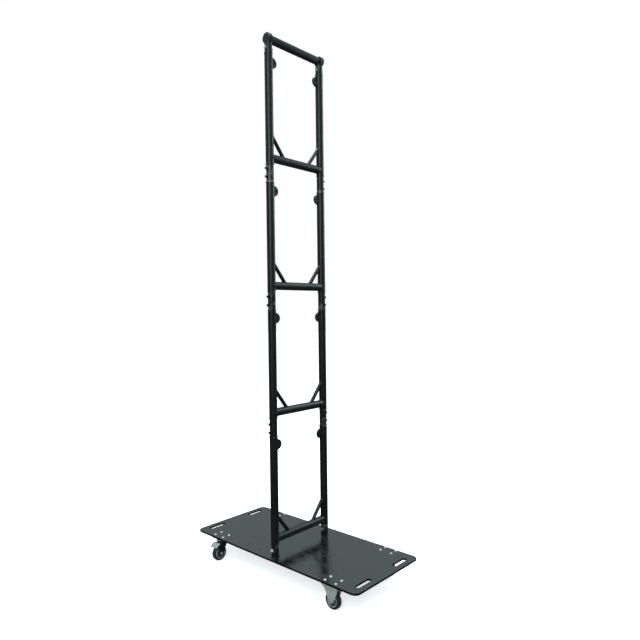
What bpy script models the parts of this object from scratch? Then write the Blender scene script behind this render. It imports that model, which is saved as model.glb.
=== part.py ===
"""Truss dolly: a steel plate on four casters that carries a ladder of four tube frames, joined by pinned
conical couplers and closed by a round top bar.

Units are metres. +X runs across the ladder, +Y along the plate and +Z up. The origin lies on the floor under
the middle of the plate. The two swivel casters are at the +Y end and the two fixed ones at the -Y end.
"""

from math import acos, atan2, cos, hypot, pi, radians, sin

import bmesh
import bpy
from mathutils import Matrix, Vector

# Clearances
GAP = 0.0003
BORE_CLEARANCE = 0.0003
DISC_CLEARANCE = 0.001
TYRE_SIDE_CLEARANCE = 0.0035
CROWN_CLEARANCE = 0.013
CASTER_EDGE_CLEARANCE = 0.003

# Base plate
PLATE_LENGTH = 1.410
PLATE_WIDTH = 0.612
PLATE_THICKNESS = 0.012
PLATE_CORNER_RADIUS = 0.040
HAND_SLOT_LENGTH = 0.130
HAND_SLOT_WIDTH = 0.030
HAND_SLOT_OFFSET = 0.175
HAND_SLOT_INSET = 0.053
SPARE_HOLE_DIAMETER = 0.009
SPARE_HOLE_OFFSET = 0.240
SPARE_HOLE_ROWS = (0.118, 0.240)

# Ladder frames
FRAME_COUNT = 4
FRAME_PITCH = 0.787
UPRIGHT_SPACING = 0.460
TUBE_DIAMETER = 0.051
TUBE_WALL = 0.003
RECEIVER_DIAMETER = 0.048
RECEIVER_LENGTH = 0.053
RING_DIAMETER = 0.054
RING_HEIGHT = 0.006
CROSS_BAR_HEIGHT = 0.094
BRACE_DIAMETER = 0.024
BRACE_RISE = 0.130
BRACE_REACH = 0.110

# Side lugs
LUG_DROP = 0.107
LUG_HEIGHT = 0.074
LUG_REACH = 0.037
LUG_THICKNESS = 0.014
LUG_NOSE_RADIUS = 0.031
LUG_EYE_DIAMETER = 0.012

# Couplers, lock pins and cross bolts
COUPLER_REACH = 0.047
COUPLER_ROOT_DIAMETER = 0.039
COUPLER_TIP_DIAMETER = 0.032
PIN_OFFSET = 0.026
PIN_DIAMETER = 0.011
PIN_HEAD_DIAMETER = 0.016
PIN_HEAD_LENGTH = 0.013
PIN_TAIL = 0.007
CROSS_BOLT_HEAD_DIAMETER = 0.019
CROSS_BOLT_HEAD_LENGTH = 0.007
CROSS_BOLT_END = 0.003
FOOT_SCREW_DIAMETER = 0.012
FOOT_SCREW_HEAD_DIAMETER = 0.022
FOOT_SCREW_HEAD_LENGTH = 0.008

# Top bar
DISC_DIAMETER = 0.067
DISC_DEPTH = 0.027
DISC_OVERHANG = 0.018
DISC_WALL = 0.004

# Casters
WHEEL_DIAMETER = 0.100
TYRE_WIDTH = 0.032
TYRE_DEPTH = 0.015
TYRE_CHAMFER = 0.004
HUB_DIAMETER = 0.024
AXLE_DIAMETER = 0.010
AXLE_HEAD_DIAMETER = 0.019
AXLE_HEAD_LENGTH = 0.006
FORK_SHEET = 0.003
MOUNT_SHEET = 0.004
MOUNT_BOLT_SPACING_X = 0.050
MOUNT_BOLT_SPACING_Y = 0.080
MOUNT_MARGIN_X = 0.016
MOUNT_MARGIN_Y = 0.020
MOUNT_CORNER_RADIUS = 0.010
MOUNT_BOLT_DIAMETER = 0.008
MOUNT_BOLT_HEAD_DIAMETER = 0.015
MOUNT_BOLT_HEAD_LENGTH = 0.0055
MOUNT_NUT_LENGTH = 0.0085
FIXED_INSET = 0.198
FIXED_LEG_RADIUS = 0.018
FIXED_LEG_TIP = 0.013
FIXED_BEND_DEPTH = 0.036
SWIVEL_INSET = 0.217
SWIVEL_TRAIL = 0.026
SWIVEL_TURN = radians(90)
UPPER_RACE_HEIGHT = 0.010
LOWER_RACE_HEIGHT = 0.009
RACE_NUT_CLEARANCE = 0.002
RACE_STEP = 0.003
KINGPIN_DIAMETER = 0.012
KINGPIN_HEAD_DIAMETER = 0.022
KINGPIN_HEAD_LENGTH = 0.006
SWIVEL_LEG_RADIUS = 0.021
SWIVEL_LEG_TIP = 0.014
SWIVEL_CROWN_BACK = 0.030
SWIVEL_CROWN_FRONT = 0.010

# Brake pedals
PEDAL_PIN_DIAMETER = 0.006
PEDAL_BARREL_DIAMETER = 0.010
PEDAL_PIN_BACK = 0.010
PEDAL_PIN_DROP = 0.0075
PEDAL_SHEET = 0.003
PEDAL_WIDTH = 0.066
PEDAL_KNEE_OUT = 0.018
PEDAL_KNEE_RISE = 0.008
PEDAL_TIP_OUT = 0.049
PEDAL_TIP_DROP = 0.014
PEDAL_SIDE_CLEARANCE = 0.001
PEDAL_SHOULDER = 0.003

# Facets
TUBE_SIDES = 16
TREAD_SIDES = 24
WHEEL_SIDES = 16
BOLT_SIDES = 8
HEX_SIDES = 6
ARC_STEPS = 4

# Values worked out from those above
TUBE_RADIUS = TUBE_DIAMETER / 2
TUBE_BORE_RADIUS = TUBE_RADIUS - TUBE_WALL
RECEIVER_RADIUS = RECEIVER_DIAMETER / 2
UPRIGHT_X = UPRIGHT_SPACING / 2
LADDER_HEIGHT = FRAME_COUNT * FRAME_PITCH
PIN_HOLE_RADIUS = PIN_DIAMETER / 2 + BORE_CLEARANCE
DISC_RADIUS = DISC_DIAMETER / 2
TOP_BAR_RISE = DISC_RADIUS + DISC_CLEARANCE
WHEEL_RADIUS = WHEEL_DIAMETER / 2
AXLE_HOLE_RADIUS = AXLE_DIAMETER / 2 + BORE_CLEARANCE
FORK_INNER = TYRE_WIDTH / 2 + TYRE_SIDE_CLEARANCE
CROWN_UNDERSIDE = WHEEL_DIAMETER + CROWN_CLEARANCE + KINGPIN_HEAD_LENGTH + GAP
CROWN_TOP = CROWN_UNDERSIDE + FORK_SHEET
LOWER_RACE_TOP = CROWN_TOP + LOWER_RACE_HEIGHT
UPPER_RACE_BOTTOM = LOWER_RACE_TOP + GAP
MOUNT_UNDERSIDE = UPPER_RACE_BOTTOM + UPPER_RACE_HEIGHT
MOUNT_TOP = MOUNT_UNDERSIDE + MOUNT_SHEET
PLATE_UNDERSIDE = MOUNT_TOP + GAP
PLATE_TOP = PLATE_UNDERSIDE + PLATE_THICKNESS
MOUNT_WIDTH = MOUNT_BOLT_SPACING_X + 2 * MOUNT_MARGIN_X
MOUNT_LENGTH = MOUNT_BOLT_SPACING_Y + 2 * MOUNT_MARGIN_Y
CASTER_X = PLATE_WIDTH / 2 - MOUNT_WIDTH / 2 - CASTER_EDGE_CLEARANCE
FIXED_Y = FIXED_INSET - PLATE_LENGTH / 2
SWIVEL_Y = PLATE_LENGTH / 2 - SWIVEL_INSET
MOUNT_BOLT_RADIUS = MOUNT_BOLT_DIAMETER / 2
MOUNT_NUT_REACH = hypot(MOUNT_BOLT_SPACING_X, MOUNT_BOLT_SPACING_Y) / 2 - MOUNT_BOLT_HEAD_DIAMETER / 2
RACE_RADIUS = MOUNT_NUT_REACH - RACE_NUT_CLEARANCE
KINGPIN_HOLE_RADIUS = KINGPIN_DIAMETER / 2 + BORE_CLEARANCE
PEDAL_PIVOT_Y = SWIVEL_TRAIL + SWIVEL_CROWN_FRONT - PEDAL_PIN_BACK
PEDAL_PIVOT = Vector((0, PEDAL_PIVOT_Y, CROWN_UNDERSIDE - PEDAL_PIN_DROP))

SIDES = (("left", -1), ("right", 1))
ALONG_X = Matrix.Rotation(radians(90), 4, "Y")
STANDING_XZ = Matrix.Rotation(radians(90), 4, "X")
STANDING_YZ = Matrix(((0, 0, 1, 0), (1, 0, 0, 0), (0, 1, 0, 0), (0, 0, 0, 1)))
SHARP_ANGLE = radians(35)
WELD = 1e-6
OVERLAP = 0.001
BEYOND = 0.010


for old in list(bpy.data.objects):
    bpy.data.objects.remove(old)


def new_collection(name):
    made = bpy.data.collections.new(name)
    bpy.context.scene.collection.children.link(made)
    return made


parts = new_collection("truss_dolly")
helpers = new_collection("cutters")


def material(name, colour, metallic, roughness):
    made = bpy.data.materials.new(name)
    made.use_nodes = True
    shader = made.node_tree.nodes["Principled BSDF"]
    shader.inputs["Base Color"].default_value = (*colour, 1)
    shader.inputs["Metallic"].default_value = metallic
    shader.inputs["Roughness"].default_value = roughness
    return made


# Outlines, as lists of (u, v)
def arc(centre, radius, start, end, steps):
    """Points along an arc, both ends included."""
    angles = [start + (end - start) * i / steps for i in range(steps + 1)]
    return [(centre[0] + radius * cos(a), centre[1] + radius * sin(a)) for a in angles]


def circle(centre, radius, sides):
    return arc(centre, radius, 0, 2 * pi, sides)[:-1]


def rounded_box(centre, width, length, radius):
    """A rectangle with round corners, width along u and length along v."""
    reach_u, reach_v = width / 2 - radius, length / 2 - radius
    corners = ((1, 1), (-1, 1), (-1, -1), (1, -1))
    points = []
    for quarter, (u, v) in enumerate(corners):
        middle = (centre[0] + u * reach_u, centre[1] + v * reach_v)
        points += arc(middle, radius, quarter * pi / 2, (quarter + 1) * pi / 2, ARC_STEPS)
    return points


def slot(centre, length, width):
    """A slot with half-round ends, its length along u."""
    reach = (length - width) / 2
    right = arc((centre[0] + reach, centre[1]), width / 2, -pi / 2, pi / 2, ARC_STEPS)
    left = arc((centre[0] - reach, centre[1]), width / 2, pi / 2, 3 * pi / 2, ARC_STEPS)
    return right + left


def nosed(first, last, centre, radius, steps):
    """Two corners and a round nose, joined by the straight lines that touch the nose."""

    def touch(corner, side):
        away = (corner[0] - centre[0], corner[1] - centre[1])
        return atan2(away[1], away[0]) + side * acos(radius / hypot(*away))

    start, end = touch(first, 1), touch(last, -1)
    while end < start:
        end += 2 * pi
    return [first, *arc(centre, radius, start, end, steps), last]


def ribbon(points, thickness):
    """The outline of a strip of even thickness whose middle runs through the points."""
    middle = [Vector(point) for point in points]
    ahead = [(b - a).normalized() for a, b in zip(middle, middle[1:])]
    sides = []
    for i, point in enumerate(middle):
        before, after = ahead[max(i - 1, 0)], ahead[min(i, len(ahead) - 1)]
        normal = Vector((-before.y - after.y, before.x + after.x)).normalized()
        sides.append(normal * (thickness / 2 / normal.dot(Vector((-after.y, after.x)))))
    upper = [tuple(p + s) for p, s in zip(middle, sides)]
    lower = [tuple(p - s) for p, s in zip(middle, sides)]
    return lower + upper[::-1]


# Meshes
def baked(source):
    """The source object's mesh with its modifiers applied. The source object is removed."""
    graph = bpy.context.evaluated_depsgraph_get()
    mesh = bpy.data.meshes.new_from_object(source.evaluated_get(graph))
    bpy.data.objects.remove(source)
    return mesh


def helper(name, mesh, matrix=Matrix()):
    """A hidden object that cuts or joins others."""
    mesh.transform(matrix)
    made = bpy.data.objects.new(name, mesh)
    made.hide_render = True
    made.display_type = "WIRE"
    helpers.objects.link(made)
    return made


def turned(name, profile, sides, ring=False):
    """A profile of (radius, height) turned about Z, running down its outer side. A ring's comes back up."""
    mesh = bpy.data.meshes.new(name)
    edges = [(i, i + 1) for i in range(len(profile) - 1)]
    if ring:
        edges.append((len(profile) - 1, 0))
    mesh.from_pydata([(radius, 0, height) for radius, height in profile], edges, [])
    source = helper(name, mesh)
    screw = source.modifiers.new("turn", "SCREW")
    screw.steps = screw.render_steps = sides
    screw.use_merge_vertices = True
    screw.merge_threshold = WELD
    return baked(source)


def cylinder(name, radius, start, end, sides):
    """A cylinder about Z between two heights."""
    return turned(name, [(0, end), (radius, end), (radius, start), (0, start)], sides)


def extruded(name, outlines, thickness):
    """A flat outline in XY, with any further outlines cut out of it, half its thickness each way along Z."""
    curve = bpy.data.curves.new(name, "CURVE")
    curve.dimensions = "2D"
    curve.fill_mode = "BOTH"
    curve.extrude = thickness / 2
    for outline in outlines:
        spline = curve.splines.new("POLY")
        spline.points.add(len(outline) - 1)
        spline.use_cyclic_u = True
        for point, (u, v) in zip(spline.points, outline):
            point.co = (u, v, 0, 1)
    source = bpy.data.objects.new(name, curve)
    helpers.objects.link(source)
    mesh = baked(source)
    shape = bmesh.new()
    shape.from_mesh(mesh)
    bmesh.ops.remove_doubles(shape, verts=shape.verts, dist=WELD)
    shape.to_mesh(mesh)
    shape.free()
    return mesh


def combined(name, base, steps):
    """The base mesh after each (operation, helper object) in turn."""
    source = helper(name + "_blank", base)
    for operation, other in steps:
        modifier = source.modifiers.new(other.name, "BOOLEAN")
        modifier.operation = operation
        modifier.solver = "EXACT"
        modifier.object = other
    return baked(source)


def place(name, mesh, look, location, turn=0, parent=None):
    """One part in the scene, turned about Z by turn."""
    if not mesh.materials or mesh.materials[0] != look:
        mesh.materials.clear()
        mesh.materials.append(look)
        mesh.shade_smooth()
        mesh.set_sharp_from_angle(angle=SHARP_ANGLE)
    made = bpy.data.objects.new(name, mesh)
    made.location = location
    made.rotation_euler.z = turn
    made.parent = parent
    parts.objects.link(made)
    return made


def facing(side):
    """The turn about Z that points a part's +X outwards on the given side."""
    return 0 if side > 0 else pi


# Base plate
def plate_outlines():
    outlines = [rounded_box((0, 0), PLATE_WIDTH, PLATE_LENGTH, PLATE_CORNER_RADIUS)]
    slot_y = PLATE_LENGTH / 2 - HAND_SLOT_INSET
    for side in (-1, 1):
        for end in (-1, 1):
            outlines.append(slot((side * HAND_SLOT_OFFSET, end * slot_y), HAND_SLOT_LENGTH, HAND_SLOT_WIDTH))
            for row in SPARE_HOLE_ROWS:
                centre = (side * SPARE_HOLE_OFFSET, end * row)
                outlines.append(circle(centre, SPARE_HOLE_DIAMETER / 2, BOLT_SIDES))
        foot_hole = FOOT_SCREW_DIAMETER / 2 + BORE_CLEARANCE
        outlines.append(circle((side * UPRIGHT_X, 0), foot_hole, TUBE_SIDES))
        for row in (FIXED_Y, SWIVEL_Y):
            for x, y in mount_bolt_places():
                centre = (side * CASTER_X + x, row + y)
                outlines.append(circle(centre, MOUNT_BOLT_RADIUS + BORE_CLEARANCE, HEX_SIDES))
    return outlines


def mount_bolt_places():
    half_x, half_y = MOUNT_BOLT_SPACING_X / 2, MOUNT_BOLT_SPACING_Y / 2
    return [(x, y) for x in (-half_x, half_x) for y in (-half_y, half_y)]


def make_plate():
    look = material("plate_paint", (0.075, 0.085, 0.09), 0.3, 0.45)
    mesh = extruded("base_plate", plate_outlines(), PLATE_THICKNESS)
    place("base_plate", mesh, look, (0, 0, PLATE_UNDERSIDE + PLATE_THICKNESS / 2))


# Ladder
def coupler_radius(height, clearance=0):
    """The cone's radius at a distance from the joint plane."""
    fall = (COUPLER_ROOT_DIAMETER - COUPLER_TIP_DIAMETER) / 2 / COUPLER_REACH
    return COUPLER_ROOT_DIAMETER / 2 - fall * abs(height) + clearance


def cross_hole(name, heights):
    """Cutters along X for the lock pins or bolts, at the given heights."""
    rods = []
    for i, height in enumerate(heights):
        mesh = cylinder(name, PIN_HOLE_RADIUS, -RING_DIAMETER, RING_DIAMETER, BOLT_SIDES)
        rods.append(helper(f"{name}_{i}", mesh, Matrix.Translation((0, 0, height)) @ ALONG_X))
    return [("DIFFERENCE", rod) for rod in rods]


def lug_mesh():
    """A plate in XZ whose root lies inside the tube's wall, with an eye halfway out."""
    root = TUBE_BORE_RADIUS + TUBE_WALL / 3
    nose = (TUBE_RADIUS + LUG_REACH - LUG_NOSE_RADIUS, 0)
    half = LUG_HEIGHT / 2
    outline = nosed((root, -half), (root, half), nose, LUG_NOSE_RADIUS, 2 * ARC_STEPS)
    eye = circle((TUBE_RADIUS + LUG_REACH / 2, 0), LUG_EYE_DIAMETER / 2, BOLT_SIDES)
    return extruded("lug", [outline, eye], LUG_THICKNESS)


def upright_mesh():
    """A tube with a receiver and a ring at each end and one lug at +X, standing on its lower joint plane."""
    ring, seat = RING_DIAMETER / 2, BORE_CLEARANCE
    ring_end = RECEIVER_LENGTH + RING_HEIGHT
    low, high = GAP, FRAME_PITCH
    outer = [(RECEIVER_RADIUS, RECEIVER_LENGTH), (ring, RECEIVER_LENGTH)]
    outer += [(ring, ring_end), (TUBE_RADIUS, ring_end)]
    inner = [(TUBE_BORE_RADIUS, RECEIVER_LENGTH), (coupler_radius(RECEIVER_LENGTH, seat), RECEIVER_LENGTH)]
    profile = [(RECEIVER_RADIUS, high)]
    profile += [(radius, high - height) for radius, height in outer]
    profile += outer[::-1]
    profile += [(RECEIVER_RADIUS, low), (coupler_radius(low, seat), low)]
    profile += inner[::-1]
    profile += [(radius, high - height) for radius, height in inner]
    profile += [(coupler_radius(0, seat), high)]
    tube = turned("upright", profile, TUBE_SIDES, ring=True)
    lug = helper("upright_lug", lug_mesh(), Matrix.Translation((0, 0, FRAME_PITCH - LUG_DROP)) @ STANDING_XZ)
    holes = cross_hole("upright_holes", (PIN_OFFSET, FRAME_PITCH - PIN_OFFSET))
    return combined("upright", tube, [("UNION", lug), *holes])


def brace_rod(side):
    """A rod from inside the bar to the upright's axis, for the side's corner above the bar."""
    foot = Vector((UPRIGHT_X - BRACE_REACH, 0, TUBE_RADIUS))
    head = Vector((UPRIGHT_X - TUBE_RADIUS, 0, BRACE_RISE))
    along = (head - foot).normalized()
    start = foot - along * (TUBE_RADIUS / 2)
    end = head + along * TUBE_RADIUS
    mesh = cylinder("brace", BRACE_DIAMETER / 2, 0, (end - start).length, BOLT_SIDES)
    lean = atan2(along.x, along.z)
    matrix = Matrix.Translation(start) @ Matrix.Rotation(lean, 4, "Y")
    if side < 0:
        matrix = Matrix.Rotation(pi, 4, "Z") @ matrix
    return helper(f"brace_{side}", mesh, matrix)


def cross_bar_mesh():
    """A bar along X between the uprights' axes with a brace at each end, saddled to both uprights."""
    flat_up = ALONG_X @ Matrix.Rotation(pi / TUBE_SIDES, 4, "Z")
    bar = cylinder("cross_bar", TUBE_RADIUS, -UPRIGHT_X, UPRIGHT_X, TUBE_SIDES)
    bar.transform(flat_up)
    bore = cylinder("bar_bore", TUBE_BORE_RADIUS, -UPRIGHT_SPACING, UPRIGHT_SPACING, TUBE_SIDES)
    steps = [("UNION", brace_rod(side)) for _, side in SIDES]
    low, high = -TUBE_DIAMETER, BRACE_RISE + BRACE_DIAMETER + TUBE_DIAMETER
    for name, side in SIDES:
        saddle = cylinder("bar_saddle", TUBE_RADIUS + GAP, low, high, TUBE_SIDES)
        move = Matrix.Translation((side * UPRIGHT_X, 0, 0))
        steps.append(("DIFFERENCE", helper(f"bar_saddle_{name}", saddle, move)))
    steps.append(("DIFFERENCE", helper("bar_bore", bore, flat_up)))
    return combined("cross_bar", bar, steps)


def coupler_mesh():
    """A cone each way from the joint plane, crossed by two pin holes."""
    tip, root = COUPLER_TIP_DIAMETER / 2, COUPLER_ROOT_DIAMETER / 2
    profile = [(0, COUPLER_REACH), (tip, COUPLER_REACH), (root, 0)]
    profile += [(tip, -COUPLER_REACH), (0, -COUPLER_REACH)]
    cone = turned("coupler", profile, TUBE_SIDES)
    return combined("coupler", cone, cross_hole("coupler_holes", (-PIN_OFFSET, PIN_OFFSET)))


def base_coupler_mesh():
    """A cone on the plate's top with its foot screw through the plate. Height 0 is the plate's top."""
    screw, head = FOOT_SCREW_DIAMETER / 2, FOOT_SCREW_HEAD_DIAMETER / 2
    under = -PLATE_THICKNESS - GAP
    profile = [(0, COUPLER_REACH), (COUPLER_TIP_DIAMETER / 2, COUPLER_REACH), (coupler_radius(GAP), GAP)]
    profile += [(screw, GAP), (screw, under), (head, under)]
    profile += [(head, under - FOOT_SCREW_HEAD_LENGTH), (0, under - FOOT_SCREW_HEAD_LENGTH)]
    cone = turned("base_coupler", profile, TUBE_SIDES)
    return combined("base_coupler", cone, cross_hole("base_coupler_hole", (PIN_OFFSET,)))


def lock_pin_mesh():
    """A headed pin along X, its head at +X and its middle on the upright's axis."""
    shank, head = PIN_DIAMETER / 2, PIN_HEAD_DIAMETER / 2
    seat = RECEIVER_RADIUS + GAP
    tail = -RECEIVER_RADIUS - PIN_TAIL
    taper = shank / 2
    profile = [(0, seat + PIN_HEAD_LENGTH), (head, seat + PIN_HEAD_LENGTH), (head, seat), (shank, seat)]
    profile += [(shank, tail + taper), (shank - taper, tail), (0, tail)]
    mesh = turned("lock_pin", profile, BOLT_SIDES)
    mesh.transform(ALONG_X)
    return mesh


def cross_bolt_mesh():
    """A hexagon bolt and its nut along X, the head at +X, through a receiver and the cone inside it."""
    shank = PIN_DIAMETER / 2
    head, seat = CROSS_BOLT_HEAD_DIAMETER / 2, RECEIVER_RADIUS + GAP
    reach = seat + CROSS_BOLT_HEAD_LENGTH
    rod = cylinder("cross_bolt", shank, -reach - CROSS_BOLT_END, seat + OVERLAP, BOLT_SIDES)
    top = helper("cross_bolt_head", cylinder("cross_bolt_head", head, seat, reach, HEX_SIDES))
    nut = helper("cross_bolt_nut", cylinder("cross_bolt_nut", head, -reach, -seat, HEX_SIDES))
    mesh = combined("cross_bolt", rod, [("UNION", top), ("UNION", nut)])
    mesh.transform(ALONG_X)
    return mesh


def top_fitting_mesh():
    """A round end cap that holds the top bar, with a cone below it. Height 0 is the top frame's end."""
    tip, neck = COUPLER_TIP_DIAMETER / 2, RECEIVER_RADIUS
    profile = [(0, TOP_BAR_RISE), (neck, TOP_BAR_RISE), (neck, GAP), (coupler_radius(GAP), GAP)]
    profile += [(tip, -COUPLER_REACH), (0, -COUPLER_REACH)]
    cone = turned("top_fitting", profile, TUBE_SIDES)
    at_bar = Matrix.Translation((0, 0, TOP_BAR_RISE)) @ ALONG_X
    disc = cylinder("fitting_disc", DISC_RADIUS, DISC_OVERHANG - DISC_DEPTH, DISC_OVERHANG, TUBE_SIDES)
    bore = cylinder("fitting_bore", TUBE_RADIUS + GAP, -TUBE_DIAMETER, DISC_OVERHANG - DISC_WALL, TUBE_SIDES)
    steps = [("UNION", helper("fitting_disc", disc, at_bar))]
    steps.append(("DIFFERENCE", helper("fitting_bore", bore, at_bar)))
    return combined("top_fitting", cone, steps + cross_hole("fitting_hole", (-PIN_OFFSET,)))


def top_bar_mesh():
    """A tube along X that ends inside both end caps."""
    end = UPRIGHT_X + DISC_OVERHANG - DISC_WALL - GAP
    profile = [(TUBE_RADIUS, end), (TUBE_RADIUS, -end), (TUBE_BORE_RADIUS, -end), (TUBE_BORE_RADIUS, end)]
    mesh = turned("top_bar", profile, TUBE_SIDES, ring=True)
    mesh.transform(ALONG_X)
    return mesh


def make_ladder():
    tube_paint = material("tube_paint", (0.03, 0.038, 0.042), 0.35, 0.4)
    dark_steel = material("dark_steel", (0.015, 0.015, 0.016), 0.6, 0.45)
    bright_steel = material("bright_steel", (0.62, 0.63, 0.64), 1.0, 0.3)
    cone_metal = material("cone_metal", (0.5, 0.51, 0.52), 1.0, 0.35)
    upright, cross_bar, coupler = upright_mesh(), cross_bar_mesh(), coupler_mesh()
    base_coupler, lock_pin, cross_bolt = base_coupler_mesh(), lock_pin_mesh(), cross_bolt_mesh()
    top_fitting = top_fitting_mesh()
    top = PLATE_TOP + LADDER_HEIGHT
    for frame in range(FRAME_COUNT):
        level = PLATE_TOP + frame * FRAME_PITCH
        place(f"cross_bar_{frame + 1}", cross_bar, tube_paint, (0, 0, level + CROSS_BAR_HEIGHT))
    for name, side in SIDES:
        x, outwards, inwards = side * UPRIGHT_X, facing(side), facing(-side)
        place(f"base_coupler_{name}", base_coupler, cone_metal, (x, 0, PLATE_TOP))
        place(f"base_bolt_{name}", cross_bolt, bright_steel, (x, 0, PLATE_TOP + PIN_OFFSET), outwards)
        for frame in range(FRAME_COUNT):
            level = PLATE_TOP + frame * FRAME_PITCH
            place(f"upright_{name}_{frame + 1}", upright, tube_paint, (x, 0, level), inwards)
            if frame == 0:
                continue
            place(f"coupler_{name}_{frame}", coupler, cone_metal, (x, 0, level))
            for where, height in (("lower", -PIN_OFFSET), ("upper", PIN_OFFSET)):
                pin = f"lock_pin_{name}_{frame}_{where}"
                place(pin, lock_pin, dark_steel, (x, 0, level + height), outwards)
        place(f"top_fitting_{name}", top_fitting, tube_paint, (x, 0, top), outwards)
        place(f"top_bolt_{name}", cross_bolt, bright_steel, (x, 0, top - PIN_OFFSET), outwards)
    place("top_bar", top_bar_mesh(), tube_paint, (0, 0, top + TOP_BAR_RISE))


# Casters. A fork, a mount and a bolt set stand on the floor at height 0, about the mount's middle.
def folded_sheet(name, top_half, leg_half, bend, top, bottom, sheet, length):
    """A sheet folded down into two legs, seen along Y: leg_half is the legs' outer face below the bend."""
    lean = atan2(top_half - leg_half, top - bend)
    inset = sheet / cos(lean)
    outer = [(-leg_half, bottom), (-leg_half, bend), (-top_half, top)]
    inner = [(leg_half - sheet, bottom), (leg_half - sheet, bend), (top_half - inset, top - sheet)]
    outline = outer + [(-x, z) for x, z in outer[::-1]]
    outline += inner + [(-x, z) for x, z in inner[::-1]]
    mesh = extruded(name, [outline], length)
    mesh.transform(STANDING_XZ)
    return mesh


def side_cutter(name, outline):
    """An outline in YZ as a prism wide enough to take both legs."""
    return helper(name, extruded(name, [outline], 2 * MOUNT_WIDTH), STANDING_YZ)


def rod_along_x(name, radius, half_length, y, z, sides):
    mesh = cylinder(name, radius, -half_length, half_length, sides)
    return helper(name, mesh, Matrix.Translation((0, y, z)) @ ALONG_X)


def mount_bolts(name):
    """The four bolts of a mount, each with its head on the plate and its nut under the mount."""
    radius, wide = MOUNT_BOLT_RADIUS, MOUNT_BOLT_HEAD_DIAMETER / 2
    head, nut = PLATE_TOP + GAP, MOUNT_UNDERSIDE - MOUNT_NUT_LENGTH
    profile = [(0, head + MOUNT_BOLT_HEAD_LENGTH), (wide, head + MOUNT_BOLT_HEAD_LENGTH), (wide, head)]
    profile += [(radius, head), (radius, MOUNT_UNDERSIDE + OVERLAP), (wide, MOUNT_UNDERSIDE + OVERLAP)]
    profile += [(wide, nut), (0, nut)]
    steps = []
    for i, (x, y) in enumerate(mount_bolt_places()):
        bolt = helper(f"{name}_{i}", turned(name, profile, HEX_SIDES), Matrix.Translation((x, y, 0)))
        steps.append(("UNION", bolt))
    return steps


def axle_hole(name, y):
    rod = rod_along_x(name, AXLE_HOLE_RADIUS, MOUNT_WIDTH, y, WHEEL_RADIUS, BOLT_SIDES)
    return ("DIFFERENCE", rod)


def fixed_fork_mesh():
    """One sheet folded down from the mount's long edges into two tapered legs, with its four bolts."""
    leg_half = FORK_INNER + MOUNT_SHEET
    bottom = WHEEL_RADIUS - FIXED_LEG_TIP - BEYOND
    bend = MOUNT_TOP - FIXED_BEND_DEPTH
    half = MOUNT_LENGTH / 2
    length = 2 * (half + BEYOND)
    heights = (bend, MOUNT_TOP, bottom)
    sheet = folded_sheet("fixed_fork", MOUNT_WIDTH / 2, leg_half, *heights, MOUNT_SHEET, length)
    nose = (0, WHEEL_RADIUS - FIXED_LEG_TIP + FIXED_LEG_RADIUS)
    middle = MOUNT_UNDERSIDE + MOUNT_SHEET / 2
    shoulders = nosed((-half, middle), (half, middle), nose, FIXED_LEG_RADIUS, 2 * ARC_STEPS)
    outline = [*shoulders, (half, MOUNT_TOP + BEYOND), (-half, MOUNT_TOP + BEYOND)]
    steps = [("INTERSECT", side_cutter("fixed_fork_side", outline)), axle_hole("fixed_axle_hole", 0)]
    return combined("fixed_fork", sheet, steps + mount_bolts("fixed_bolt"))


def swivel_mount_mesh():
    """The mount plate with the upper race, the kingpin that carries the fork, and the four bolts."""
    outline = rounded_box((0, 0), MOUNT_WIDTH, MOUNT_LENGTH, MOUNT_CORNER_RADIUS)
    sheet = extruded("swivel_mount", [outline], MOUNT_SHEET)
    sheet.transform(Matrix.Translation((0, 0, MOUNT_UNDERSIDE + MOUNT_SHEET / 2)))
    pin, head = KINGPIN_DIAMETER / 2, KINGPIN_HEAD_DIAMETER / 2
    head_top = CROWN_UNDERSIDE - GAP
    buried = MOUNT_UNDERSIDE + MOUNT_SHEET / 2
    profile = [(0, buried), (RACE_RADIUS, buried), (RACE_RADIUS, UPPER_RACE_BOTTOM), (pin, UPPER_RACE_BOTTOM)]
    profile += [(pin, head_top), (head, head_top), (head, head_top - KINGPIN_HEAD_LENGTH)]
    profile += [(0, head_top - KINGPIN_HEAD_LENGTH)]
    race = helper("upper_race", turned("upper_race", profile, TUBE_SIDES))
    return combined("swivel_mount", sheet, [("UNION", race), *mount_bolts("swivel_bolt")])


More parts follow.
